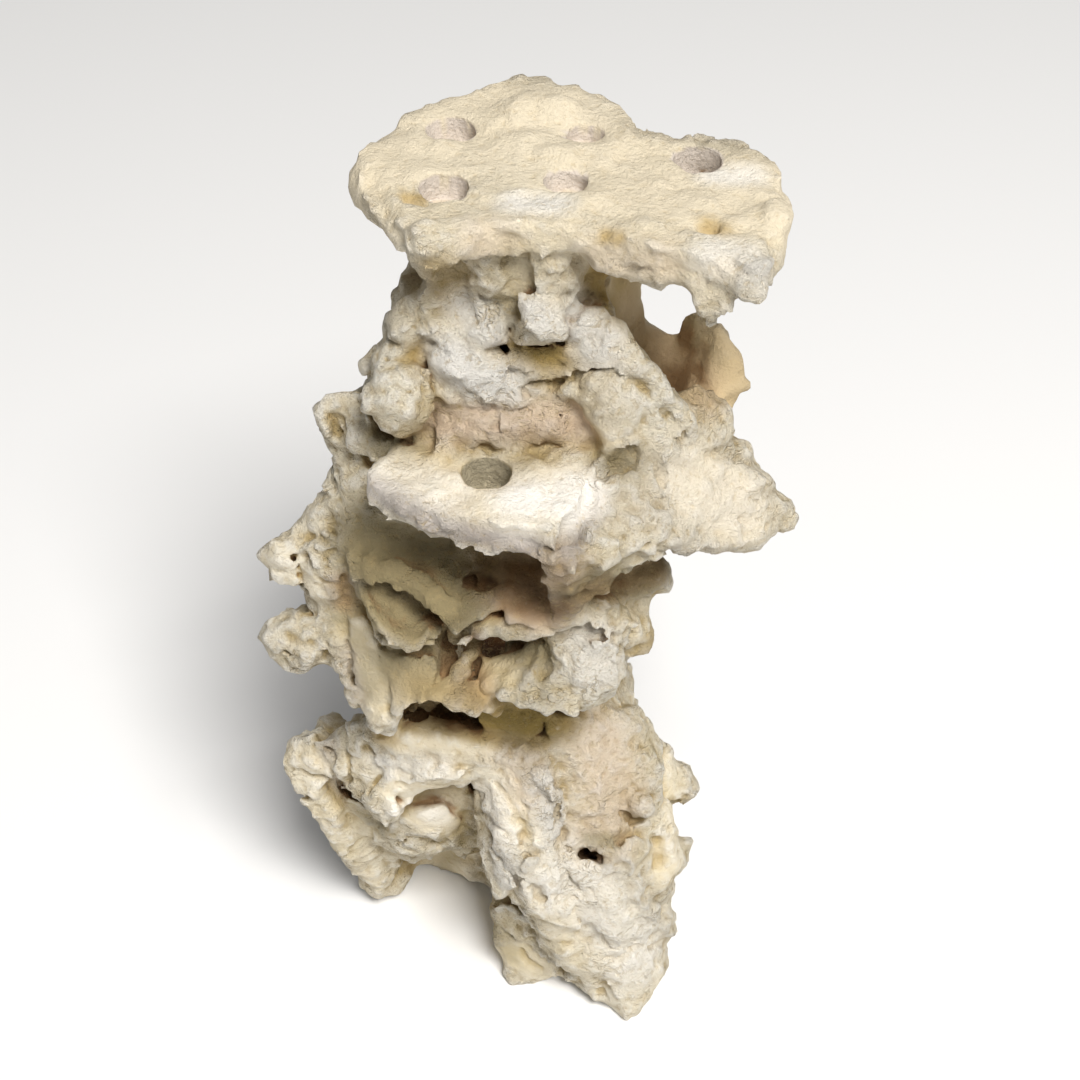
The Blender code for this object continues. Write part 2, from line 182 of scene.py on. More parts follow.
# Colours laid over the base, and more over the tints: what they follow, where that starts and ends,
# the most that they cover, what else they follow, and the colour. Besides the random patches, these
# are painted highlights on what stands out and painted shade in creases, pits and hollows.
SHADES = (
    ("patch", 0.5, 0.8, 0.35, None, (0.78, 0.66, 0.46)),
    # Painted highlight: whiter where edges stand out.
    ("edge", 0.6, 0.9, 0.5, None, (0.92, 0.88, 0.79)),
    # Painted shade: browner in creases.
    ("edge", 0.45, 0.15, 0.6, None, (0.52, 0.38, 0.15)),
    # Painted shade: browner in small crevices.
    ("fine", 0.42, 0.10, 0.4, None, (0.50, 0.37, 0.17)),
    # Painted highlight: whiter on small chips that stand out.
    ("fine", 0.6, 0.9, 0.45, None, (0.93, 0.89, 0.80)),
    # Painted shade: browner where less of the sky is open.
    ("open", 0.85, 0.42, 0.8, None, (0.56, 0.42, 0.19)),
)
LATE_SHADES = (
    # Painted shade: dark brown in the deepest hollows.
    ("open", 0.40, 0.12, 0.85, None, (0.28, 0.15, 0.06)),
    # Painted highlight: the edges that stand out most are whiter still, except under the green-brown
    # shade tint.
    ("edge", 0.85, 1.0, 0.5, "not_olive", (0.90, 0.84, 0.70)),
    # Painted shade: browner in the low places of the crumb noise, which the bumps follow.
    ("crumb", 0.46, 0.30, 0.7, "rough", (0.52, 0.39, 0.19)),
    # Painted shade: browner in the low places of the grain noise, which the bumps follow.
    ("grain", 0.40, 0.28, 0.25, None, (0.58, 0.47, 0.32)),
    # Painted shade: browner in the fine creases, which the bumps sink.
    ("crease", 1.0, 0.0, 0.40, "broken", (0.50, 0.37, 0.17)),
)
# A tint covers TINT_LEAST of its strength, and more in patches.
TINT_PATCH = (0.35, 0.6, 0.1)
TINT_LEAST = 0.9
# Bumps, the finest first: what they follow, their height in metres, and what they fade with.
BUMPS = (
    ("grain", 0.0010, "firm"),
    ("crumb", 0.0028, "firm"),
    ("flake", 0.0013, "rough"),
    ("crease", 0.0008, "broken"),
)
# Worn stone keeps a part of the firm bumps. Creases lie only where the zone noise is high.
FIRM_LEAST = 0.25
BROKEN_ZONE = (0.48, 0.60, 1.0)
# Creases: the noise with its bend, how it is squashed, and their width. Flakes: their scale, and the
# noise that bends them by a share of their size.
CREASE_NOISE = (150, 3, 0.6, 0.4)
CREASE_SQUASH = (1, 1, 1.8)
CREASE_WIDTH = 0.045
FLAKE_SCALE = 300
FLAKE_NOISE = (1.3 * FLAKE_SCALE, 3, 0.6)
FLAKE_BEND = 1.6
STONE_ROUGHNESS = 0.92
STONE_SPECULAR = 0.25
# The mix node's sockets for its share and its two colours, and for the colour that it makes.
MIX_INPUTS = (0, 6, 7)
MIX_OUTPUT = 2

# Strokes, placed on the surface that pixels of the photograph's frame show: the radius, the height over
# the surface in millimetres, which is a depth where it is below zero, and a line of pixels.
FRONT_FORMS = {
    # The top shelf.
    "brown_crack": (0.8, -1.4, (405, 197), (416, 199), (427, 200)),
    "yellow_nub": (4.0, 1.3, (544, 158), (556, 153), (568, 158)),
    "natural_hole": (2.4, -3.6, (704, 226), (714, 230)),
    "natural_hole_side": (1.4, -1.2, (692, 224), (700, 228)),
    "front_slit": (0.9, -1.2, (600, 236), (611, 236), (622, 238)),
    "right_slit": (1.6, -2.4, (719, 263), (728, 264), (737, 269)),
    "left_end_groove": (2.4, -0.9, (369, 170), (375, 196), (392, 216)),
    "left_dimple": (3.0, -0.8, (400, 175), (392, 178)),
    "middle_swell": (7.0, 0.9, (500, 120), (530, 108), (570, 112)),
    "left_edge_knobs": (3.4, 1.0, (385, 232), (398, 246)),
    "right_edge_bump": (3.2, 1.2, (778, 200), (782, 226)),
    "right_edge_gap": (1.8, -1.6, (783, 190), (784, 191)),
    "right_corner_gap": (1.8, -1.4, (776, 244), (780, 243)),
    "tooth_knob": (3.6, 1.0, (712, 300), (712, 318)),
    "left_lobe": (5.0, 1.4, (424, 244), (432, 262)),
    # The neck.
    "peg_hole": (0.7, -1.6, (536, 313), (537, 313)),
    "olive_crevice": (1.8, -3.6, (414, 342), (416, 356), (420, 370)),
    "upper_left_knob": (4.0, 1.2, (432, 296), (440, 312)),
    "left_shoulder_knob": (4.0, 1.2, (394, 320), (402, 338)),
    "side_nub": (2.4, 1.4, (356, 366), (364, 370)),
    "side_nub_gap": (1.6, -1.6, (360, 382), (372, 378)),
    # The ledge and the lumps of the second tier.
    "ledge_crack": (1.1, -2.0, (533, 385), (552, 390), (577, 378), (593, 373), (614, 365)),
    "ledge_crack_low": (0.9, -1.6, (523, 391), (539, 404), (562, 414)),
    "crest_edge": (2.6, 1.6, (612, 326), (624, 352), (650, 376), (676, 408), (692, 430)),
    "yellow_lump": (6.0, 1.2, (600, 385), (604, 408), (604, 424)),
    "round_lump": (6.4, 1.4, (394, 398), (404, 410), (400, 424)),
    "lump_crease": (1.4, -1.8, (369, 400), (371, 416), (376, 434)),
    "left_ridge": (3.0, 1.1, (334, 402), (348, 408), (356, 428), (358, 450)),
    "left_ridge_crease": (1.0, -1.2, (330, 424), (342, 436), (346, 458)),
    # The middle shelf.
    "back_left_edge": (2.2, 1.0, (364, 474), (384, 460), (404, 449)),
    "side_groove": (2.2, -2.6, (593, 486), (589, 502), (580, 522), (566, 546)),
    # The wing and the arch's rim.
    "wing_fold_one": (1.8, 1.1, (600, 550), (620, 532), (646, 516), (668, 508)),
    "wing_fold_two": (1.8, 1.1, (596, 566), (618, 552), (648, 532), (672, 524)),
    "wing_fold_three": (1.7, 1.0, (640, 552), (664, 540), (690, 536)),
    "wing_crease_one": (1.0, -1.4, (606, 556), (632, 538), (660, 518)),
    "wing_crease_two": (1.0, -1.3, (624, 562), (652, 546), (676, 532)),
    "wing_crease_three": (1.0, -1.4, (656, 470), (668, 492), (664, 512)),
    "wing_swell": (6.0, 1.0, (690, 486), (712, 506)),
    "wing_knob": (3.4, 1.4, (748, 478), (762, 484)),
    "wing_tip": (2.6, 1.2, (782, 502), (788, 512)),
    "wing_low_knob": (3.0, 1.2, (706, 546), (728, 548)),
    "wing_low_gap": (2.2, -3.0, (670, 550), (674, 556)),
    "wing_edge_gap": (1.8, -1.8, (762, 532), (768, 528)),
    "rim_spike": (2.0, 1.6, (738, 384), (750, 386)),
    "rim_gap": (1.8, -1.6, (728, 404), (736, 402)),
    "rim_knob": (2.8, 1.0, (726, 420), (732, 436)),
    # The knobs on the left.
    "knob_groove": (1.2, -2.8, (291, 541), (295, 558), (300, 574), (306, 596)),
    "knob_fold_one": (2.4, 1.2, (306, 548), (316, 560), (314, 578)),
    "knob_fold_two": (2.4, 1.2, (322, 572), (334, 580), (336, 596)),
    "knob_crease": (1.0, -1.4, (336, 548), (326, 562), (318, 575)),
    "knob_crease_two": (1.0, -1.0, (306, 532), (322, 540), (334, 540)),
    "low_knob_ridge": (3.0, 0.9, (268, 630), (290, 646), (312, 656)),
    "low_knob_crease": (1.0, -0.9, (276, 640), (292, 658)),
    # The folded foot at the lower left.
    "head_crease": (1.3, -2.2, (325, 741), (332, 762), (341, 782), (351, 803)),
    "head_crease_two": (1.2, -1.6, (344, 751), (350, 764), (347, 788)),
    "head_crease_three": (1.1, -1.3, (300, 772), (312, 778), (330, 780)),
    "leg_ridge": (2.4, 1.2, (316, 790), (330, 808), (340, 824)),
    "fold_lip": (1.6, 1.4, (366, 802), (382, 788), (392, 774), (411, 779), (441, 775), (464, 773)),
    "crumple_one": (1.6, 0.9, (362, 806), (376, 806), (388, 818), (396, 812), (410, 796)),
    "crumple_two": (1.4, 1.0, (372, 796), (388, 796), (402, 786)),
    "crumple_crease": (1.0, -1.4, (358, 798), (372, 790), (384, 778)),
    "inner_bump_crumbs": (1.6, 1.4, (392, 838), (412, 832), (432, 830), (442, 844)),
    "inner_bump_under": (1.0, -1.2, (396, 844), (414, 840), (430, 842)),
    "white_edge": (2.0, 0.8, (374, 764), (404, 764), (430, 768)),
    "ankle_crease": (1.2, -2.0, (362, 740), (364, 752), (368, 758)),
    "golden_nook": (2.0, -2.6, (380, 734), (388, 736)),
    # The front foot.
    "ridge_groove": (1.2, -1.1, (494, 780), (504, 794), (514, 810), (524, 830), (522, 856)),
    "ridge_flake": (2.2, 1.8, (538, 770), (546, 782), (556, 796)),
    "left_cracks": (0.9, -1.5, (484, 830), (492, 848), (504, 866), (516, 884)),
    "left_cracks_two": (0.8, -1.2, (482, 812), (492, 826), (506, 836)),
    "recess_edge": (1.0, -1.6, (559, 803), (562, 826), (568, 848), (570, 876), (585, 898)),
    "through_hole": (1.6, -9.0, (578, 857), (588, 854), (598, 859), (607, 855)),
    "hole_hood": (1.6, -1.2, (594, 842), (604, 842)),
    "pit": (1.5, -1.8, (532, 892), (540, 900), (547, 899), (542, 908)),
    "pit_two": (1.2, -1.6, (531, 888), (533, 890)),
    "nub": (2.6, 1.8, (634, 804), (644, 806)),
    "nub_under": (1.5, -2.6, (620, 814), (634, 820), (648, 822)),
    "ring_crack": (0.7, -1.0, (604, 926), (600, 938), (606, 948), (616, 948)),
    "flap_edge": (1.4, 1.2, (634, 896), (648, 908), (660, 920), (672, 936)),
    "flap_crack": (0.9, -1.2, (630, 902), (644, 916), (654, 928)),
    "toe_crack": (0.9, -1.4, (660, 945), (634, 948), (622, 960), (612, 974)),
    "heel_ridge": (1.8, 1.0, (500, 926), (522, 936), (546, 952), (560, 966)),
    "heel_crease": (1.2, -1.4, (520, 950), (530, 964), (542, 972)),
    "foot_crack": (0.7, -1.1, (548, 895), (562, 896), (580, 897)),
    "right_lump_groove": (1.8, -1.6, (660, 772), (666, 792), (660, 806)),
    "right_lump_two_groove": (1.8, -1.6, (656, 836), (662, 852), (660, 870)),
    "toe_gap": (1.6, -1.6, (598, 992), (604, 996)),
}
# The hollow middle's strokes, in the same form.
HOLLOW_FORMS = {
    "hole_wall": (1.6, 1.6, (473, 652), (461, 670), (457, 678), (463, 688)),
    "fin_edge": (1.7, 1.2, (580, 614), (604, 604), (634, 596), (656, 588)),
    "fin_under": (2.0, -2.2, (584, 630), (600, 632), (614, 634)),
    "crumbly_lump_one": (4.6, 1.6, (566, 650), (584, 652)),
    "crumbly_lump_two": (4.0, 1.4, (600, 664), (604, 680)),
    "crumbly_edge": (1.8, 1.4, (560, 690), (578, 704), (584, 708), (598, 694), (612, 676)),
    "right_low_knob": (3.6, 1.4, (634, 622), (648, 634)),
    "right_low_gap": (1.8, -1.8, (622, 650), (628, 646)),
    "strut": (4.0, 1.2, (358, 640), (366, 668), (378, 696), (384, 714)),
    "strut_groove": (1.1, -1.6, (348, 641), (353, 671), (357, 696), (360, 708)),
    "strut_fold": (1.3, 1.1, (382, 650), (392, 668), (420, 676), (436, 668)),
    "strut_fold_two": (0.9, -1.2, (376, 632), (384, 656), (398, 672)),
    "strut_foot": (3.4, 1.4, (378, 706), (392, 722)),
    "fin_hollow": (2.6, -1.8, (592, 600), (610, 588), (630, 580), (648, 572)),
    "slot": (3.2, -6.0, (412, 714), (432, 710), (456, 712), (476, 716)),
    "slot_ledge": (3.0, 0.8, (400, 736), (430, 738), (460, 740)),
    "brown_striae": (2.6, -2.0, (505, 712), (512, 728)),
    "pale_block": (4.0, 1.0, (550, 722), (574, 728)),
    "pale_block_crease": (0.7, -0.9, (537, 706), (538, 724), (540, 738)),
}

# Shelf outlines in pixels, taken on the level of the shelf's top.
TOP_OUTLINE = (
    (356, 152), (372, 141), (390, 133), (418, 112), (447, 94), (469, 95), (480, 83), (510, 76),
    (537, 77), (565, 83), (591, 91), (618, 103), (636, 125), (645, 138), (675, 141), (694, 132),
    (718, 137), (744, 146), (762, 159), (778, 172), (785, 195), (779, 215), (776, 238), (776, 262),
    (762, 272), (740, 268), (718, 260), (680, 250), (640, 243), (600, 232), (560, 226), (510, 222),
    (493, 225), (450, 236), (422, 238), (405, 228), (384, 214), (369, 203), (362, 190),
)
MID_OUTLINE = (
    (566, 514), (556, 528), (530, 526), (500, 523), (478, 520), (453, 516), (430, 510), (405, 502),
    (388, 494), (366, 478), (372, 464), (384, 456), (405, 448), (440, 440), (500, 430), (560, 440),
    (604, 474), (590, 488), (575, 502),
)
# Shelves: outline, how many of its first edges stand free, level, thickness at places in x, and how far
# the side leans in for each millimetre down.
SHELVES = (
    (TOP_OUTLINE, 0, TOP_SHELF_TOP, ((0, 8.0),), 0.12),
    (MID_OUTLINE, 9, MID_SHELF_TOP, ((-46, 5.0), (-23, 11.0)), 0.1),
)

# Thin hanging leaves: the thickness, then two rows of pixels, each with its distance in front of the
# camera in millimetres, from where the leaf grows out to its free rim.
LEAVES = {
    "upper_leaf": (
        1.7,
        ((352, 552, 541), (364, 558, 540), (373, 560, 540), (382, 560, 539), (391, 560, 538),
         (402, 562, 538), (415, 567, 538), (428, 574, 538), (440, 588, 538), (452, 600, 539),
         (460, 608, 540)),
        ((355, 573, 544), (366, 581, 541), (374, 585, 540), (381, 584, 539), (388, 580, 538),
         (402, 582, 538), (415, 588, 538), (428, 597, 538), (434, 608, 539), (447, 620, 540),
         (456, 628, 541)),
    ),
    "inner_leaf": (
        2.4,
        ((456, 606, 540), (467, 604, 540), (482, 596, 540), (497, 588, 540), (509, 590, 540),
         (512, 600, 539), (532, 604, 539), (557, 604, 537)),
        ((456, 626, 541), (467, 618, 540), (482, 611, 540), (497, 601, 539), (509, 602, 539),
         (511, 617, 539), (532, 622, 539), (557, 620, 537)),
    ),
    "lower_leaf": (
        2.0,
        ((362, 584, 550), (369, 590, 551), (376, 598, 551), (386, 611, 551), (398, 622, 552),
         (410, 628, 552), (419, 626, 552), (428, 622, 552)),
        ((361, 590, 549), (366, 602, 547), (372, 614, 546), (381, 628, 546), (395, 641, 545),
         (410, 650, 545), (419, 648, 545), (427, 633, 546)),
    ),
    "lower_leaf_right": (
        2.0,
        ((428, 622, 552), (440, 626, 552), (452, 628, 551), (464, 626, 549), (474, 620, 547),
         (488, 620, 545), (508, 620, 543), (530, 620, 542), (550, 619, 540)),
        ((427, 633, 548), (440, 641, 549), (449, 645, 549), (465, 644, 548), (473, 634, 546),
         (486, 634, 545), (507, 632, 544), (528, 632, 543), (549, 631, 541)),
    ),
    "white_plate": (
        4.0,
        ((498, 664, 563), (514, 658, 562), (532, 652, 559), (548, 650, 556), (565, 652, 553)),
        ((489, 685, 560), (507, 691, 557), (523, 700, 555), (548, 708, 553), (576, 711, 552)),
    ),
    "low_rim": (
        2.2,
        ((396, 694, 571), (405, 690, 568), (421, 684, 565), (433, 680, 564), (447, 682, 563),
         (458, 686, 563), (474, 688, 562), (486, 692, 564), (495, 696, 570)),
        ((398, 712, 567), (407, 707, 564), (423, 702, 561), (433, 697, 560), (447, 700, 559),
         (457, 705, 559), (475, 707, 560), (486, 711, 564), (495, 712, 572)),
    ),
    "wing_tail": (
        5.0,
        ((552, 556, 498), (575, 556, 500), (604, 552, 505), (636, 550, 512)),
        ((560, 618, 536), (569, 600, 532), (586, 580, 526), (640, 556, 518)),
    ),
}

# Hollows, as chains of balls: pixel, distance in front of the camera, radius.
HOLLOWS = {
    "under_upper_leaf": ((372, 593, 547, 2.6), (388, 590, 547, 3.0), (404, 593, 547, 3.2),
        (420, 601, 547, 3.2), (434, 616, 549, 3.0), (450, 632, 552, 2.4)),
    "under_inner_leaf": ((468, 623, 544, 1.8), (488, 613, 543, 2.2), (503, 609, 544, 3.2),
        (520, 627, 541, 1.8), (548, 627, 539, 1.8)),
    "dark_hole": ((486, 643, 556, 3.0), (495, 643, 556, 3.2), (493, 650, 580, 4.5)),
    "second_hole": ((455, 650, 560, 2.2), (465, 650, 560, 2.2), (462, 656, 572, 3.0)),
    "brown_recess": ((450, 660, 565, 3.6), (450, 674, 565, 3.6), (446, 686, 565, 2.4)),
    "brown_recess_right": ((470, 666, 565, 3.0), (472, 684, 565, 2.6)),
    "over_plate": ((512, 644, 562, 3.6), (538, 643, 558, 3.4)),
    "alcove_foot": ((682, 384, 512, 3.2), (694, 388, 512, 3.2), (708, 394, 513, 3.0)),
    "side_cave": ((604, 478, 506, 3.0), (616, 467, 507, 3.8), (628, 457, 507, 3.0)),
    "slit": ((468, 583, 542, 1.6), (480, 584, 543, 2.2), (492, 585, 542, 1.8)),
    "shelf_nose": ((546, 562, 489, 5.0), (560, 561, 490, 6.0), (574, 559, 491, 5.0)),
}

# Broken blocks: how deep the block reaches, then its corner pixels with their distances in front of
# the camera.
BLOCKS = {
    "left_strip": (8, (482, 800, 613), (493, 784, 606), (505, 800, 603), (514, 826, 603),
        (520, 852, 608), (512, 886, 619), (496, 898, 628), (484, 862, 622), (497, 830, 606)),
    "upper_facet": (8, (502, 764, 600), (520, 745, 596), (540, 742, 596), (552, 770, 597),
        (547, 800, 601), (530, 804, 601), (514, 788, 599), (530, 770, 595)),
    "ridge": (8, (536, 762, 596), (548, 766, 595), (560, 800, 602), (562, 830, 609), (552, 862, 612),
        (534, 842, 606), (530, 806, 601), (548, 800, 599)),
    "front_plane": (8, (530, 862, 608), (556, 850, 611), (560, 890, 616), (580, 930, 630),
        (545, 916, 624), (520, 890, 615)),
    "flank_plane": (8, (572, 868, 614), (610, 866, 614), (640, 890, 623), (660, 925, 643),
        (620, 945, 632), (585, 922, 627), (610, 900, 618)),
    "toe": (8, (618, 950, 639), (640, 938, 642), (663, 945, 657), (664, 975, 659), (640, 1008, 658),
        (626, 1015, 659), (610, 985, 652), (636, 965, 645)),
    "heel": (14, (492, 908, 653), (514, 902, 647), (534, 925, 650), (562, 960, 662), (556, 976, 666),
        (532, 978, 668), (508, 968, 668), (494, 942, 662)),
    "right_nub": (8, (626, 804, 611), (645, 798, 609), (653, 808, 611), (646, 818, 614), (630, 813, 613)),
    "right_chunk": (8, (616, 850, 614), (632, 836, 612), (654, 845, 620), (652, 880, 626),
        (628, 882, 621), (636, 858, 614)),
    "foot_head": (8, (281, 768, 628), (292, 740, 624), (318, 730, 618), (334, 775, 622), (318, 796, 633),
        (300, 790, 633), (306, 758, 619)),
    "fold_crest": (8, (346, 748, 610), (372, 758, 607), (420, 762, 599), (466, 768, 597),
        (464, 780, 601), (430, 784, 602), (405, 782, 606), (385, 796, 615), (368, 790, 616)),
    "fold_point": (8, (356, 797, 621), (372, 788, 616), (394, 800, 612), (399, 812, 615),
        (388, 822, 619), (374, 813, 621)),
    "leg": (8, (302, 800, 636), (330, 795, 636), (346, 816, 645), (356, 842, 656), (400, 858, 677),
        (390, 888, 689), (376, 884, 683), (352, 866, 667), (330, 836, 650)),
    "inner_bump": (30, (372, 842, 652), (390, 818, 640), (410, 803, 633), (442, 803, 630),
        (460, 816, 634), (458, 845, 646), (430, 854, 652), (400, 850, 652), (425, 812, 628)),
    "white_block": (8, (459, 302, 497), (478, 292, 492), (495, 298, 490), (507, 322, 491),
        (500, 342, 494), (480, 347, 495), (463, 336, 497)),
    "neck_left": (8, (459, 252, 478), (480, 244, 475), (500, 246, 476), (502, 290, 484), (488, 300, 488),
        (470, 292, 490), (460, 270, 487)),
    "neck_right": (8, (536, 240, 473), (556, 236, 471), (572, 242, 473), (577, 290, 486),
        (560, 298, 484), (540, 296, 483), (538, 268, 477)),
    "peg": (10, (518, 297, 483), (548, 295, 482), (565, 300, 484), (565, 336, 487), (549, 342, 488),
        (520, 340, 488), (533, 318, 481)),
    "ledge": (8, (434, 352, 501), (452, 345, 498), (480, 348, 496), (504, 362, 500), (502, 388, 503),
        (470, 400, 507), (440, 394, 508), (462, 372, 498)),
    "ledge_right": (8, (504, 364, 502), (530, 363, 500), (562, 366, 500), (578, 386, 504),
        (562, 412, 510), (536, 406, 509), (508, 397, 508)),
    "band": (12, (436, 404, 511), (470, 400, 510), (510, 400, 510), (560, 412, 510), (592, 415, 510),
        (592, 440, 512), (560, 447, 513), (500, 448, 513), (440, 446, 514), (490, 424, 508),
        (545, 426, 508)),
    "crest_block": (16, (568, 308, 492), (590, 304, 490), (606, 312, 491), (620, 345, 494),
        (612, 370, 496), (586, 372, 498), (568, 366, 500), (566, 330, 494), (592, 330, 489)),
    "yellow_lump": (8, (588, 374, 502), (612, 372, 500), (627, 396, 501), (625, 426, 503),
        (602, 440, 507), (586, 420, 507), (604, 400, 500)),
    "wrinkled_lump": (8, (372, 386, 505), (392, 364, 501), (415, 370, 501), (426, 394, 503),
        (422, 420, 506), (402, 442, 509), (382, 432, 509), (370, 410, 508), (396, 400, 500)),
    "lump_back": (16, (364, 420, 524), (380, 436, 518), (404, 442, 516), (400, 458, 520),
        (380, 462, 526), (362, 452, 530)),
    "outer_lump": (8, (314, 410, 525), (330, 394, 525), (352, 394, 525), (366, 408, 526),
        (364, 440, 529), (346, 458, 531), (325, 440, 531)),
    "shoulder": (8, (392, 304, 497), (412, 292, 495), (440, 292, 496), (454, 306, 495), (440, 330, 495),
        (410, 334, 499), (392, 330, 501)),
    "crest_plate": (8, (612, 326, 495), (626, 345, 495), (650, 368, 497), (680, 398, 506),
        (697, 428, 512), (692, 458, 517), (664, 442, 508), (640, 408, 502), (618, 372, 496)),
    "wing_fold": (8, (596, 552, 510), (625, 522, 505), (660, 498, 511), (678, 504, 516), (655, 532, 508),
        (615, 560, 507)),
    "wing_plane": (8, (684, 472, 518), (720, 462, 522), (756, 466, 530), (774, 482, 536),
        (768, 508, 532), (720, 518, 524), (692, 504, 518)),
    "wing_low": (8, (690, 522, 521), (735, 522, 526), (764, 530, 533), (756, 542, 534), (720, 552, 529),
        (690, 545, 523)),
    "crumbly_block": (8, (549, 640, 547), (575, 628, 539), (600, 632, 540), (620, 650, 544),
        (615, 685, 550), (600, 705, 556), (575, 711, 553), (556, 690, 553), (585, 664, 543)),
    "strut": (8, (350, 616, 560), (366, 612, 559), (378, 640, 561), (388, 672, 564), (390, 700, 570),
        (372, 708, 576), (354, 680, 574), (349, 645, 566)),
    "strut_foot": (12, (366, 706, 575), (385, 702, 572), (398, 710, 573), (394, 728, 577),
        (380, 731, 579), (368, 722, 579), (382, 716, 570)),
    "left_leaf": (8, (386, 655, 563), (405, 655, 561), (425, 658, 559), (440, 655, 559), (438, 672, 559),
        (432, 694, 560), (408, 704, 563), (392, 712, 567)),
    "golden_wall": (24, (478, 704, 590), (500, 690, 582), (547, 694, 583), (547, 738, 597),
        (512, 740, 597), (482, 738, 598)),
    "pale_block": (16, (543, 712, 583), (575, 712, 585), (590, 722, 592), (575, 738, 596),
        (545, 738, 594)),
    "knob": (8, (265, 556, 554), (273, 542, 551), (288, 540, 549), (296, 560, 551), (296, 584, 559),
        (284, 585, 560), (280, 560, 550)),
    "knob_body": (8, (300, 545, 548), (325, 530, 545), (344, 540, 541), (345, 590, 554), (330, 604, 560),
        (309, 594, 561), (318, 565, 548)),
    "low_knob": (8, (259, 637, 576), (269, 622, 575), (292, 610, 574), (318, 616, 567), (328, 640, 568),
        (317, 663, 577), (290, 667, 577), (290, 636, 572)),
    "left_lobe": (8, (406, 232, 474), (440, 240, 472), (460, 250, 473), (446, 268, 476), (431, 277, 481),
        (418, 270, 480)),
    "tooth": (10, (700, 292, 462), (738, 286, 459), (730, 308, 463), (712, 324, 467), (702, 312, 466)),
    "neck_foot": (12, (486, 284, 488), (520, 286, 490), (518, 338, 499), (500, 338, 502),
        (488, 306, 495)),
    "shelf_side": (14, (556, 528, 493), (575, 503, 499), (592, 488, 504), (606, 512, 507),
        (590, 538, 502), (572, 552, 498), (556, 556, 496)),
    "fold_back": (30, (398, 784, 632), (464, 782, 628), (484, 800, 630), (484, 846, 650),
        (462, 856, 658), (400, 804, 636)),
    "under_lobe": (14, (425, 268, 486), (468, 258, 485), (474, 280, 490), (474, 300, 497),
        (425, 296, 493)),
    "arch_rim": (5, (683, 319, 546), (700, 314, 542), (716, 322, 539), (714, 345, 538), (684, 345, 546),
        (679, 334, 547)),
    "arch_top": (6, (676, 270, 463), (700, 280, 461), (702, 310, 464), (694, 302, 464), (676, 281, 463)),
    "lump_link": (14, (352, 392, 524), (372, 384, 512), (376, 420, 514), (366, 445, 524),
        (354, 440, 527)),
    "left_recess": (14, (350, 800, 640), (372, 812, 638), (394, 826, 642), (384, 840, 652),
        (358, 834, 654), (346, 812, 648)),
    "hole_side": (8, (604, 847, 614), (625, 846, 612), (634, 866, 616), (606, 869, 616)),
    "flank_fill": (8, (610, 866, 615), (640, 866, 620), (646, 896, 626), (614, 896, 620),
        (626, 880, 616)),
    "band_fill": (16, (560, 392, 508), (596, 388, 505), (602, 416, 508), (566, 420, 511)),
    "valley_fill": (14, (596, 486, 505), (630, 477, 507), (660, 474, 511), (684, 480, 515),
        (690, 505, 516), (668, 522, 513), (640, 532, 508), (606, 534, 503), (597, 505, 503)),
    "tier_fill": (16, (560, 360, 500), (580, 352, 497), (600, 362, 497), (606, 380, 499),
        (590, 396, 502), (566, 396, 505), (556, 380, 504)),
    "under_peg": (14, (508, 346, 498), (562, 344, 497), (580, 350, 497), (580, 366, 500),
        (540, 364, 500), (506, 366, 501)),
    "hole_lid": (6, (578, 838, 612), (616, 838, 612), (615, 850, 614), (600, 852, 613), (582, 847, 613)),
    "crest_foot": (12, (612, 400, 500), (640, 402, 501), (676, 430, 507), (690, 458, 514),
        (660, 470, 511), (640, 450, 508), (622, 440, 504), (610, 424, 502)),
    "wing_step": (10, (656, 500, 511), (684, 498, 516), (700, 520, 519), (696, 546, 522),
        (668, 546, 513), (650, 530, 508)),
    "hole_tooth": (4, (586, 845, 613), (596, 845, 613), (592, 857, 614)),
    "hole_sill": (8, (572, 864, 615), (590, 862, 614), (610, 866, 615), (612, 876, 616), (574, 876, 616)),
    "neck_middle": (10, (498, 244, 479), (538, 240, 477), (541, 292, 486), (500, 294, 487)),
    "ridge_base": (12, (490, 776, 606), (508, 772, 601), (522, 800, 602), (520, 830, 606),
        (506, 826, 605), (494, 800, 605)),
    "valley_patch": (8, (648, 462, 510), (676, 462, 514), (680, 492, 516), (652, 494, 511)),
}

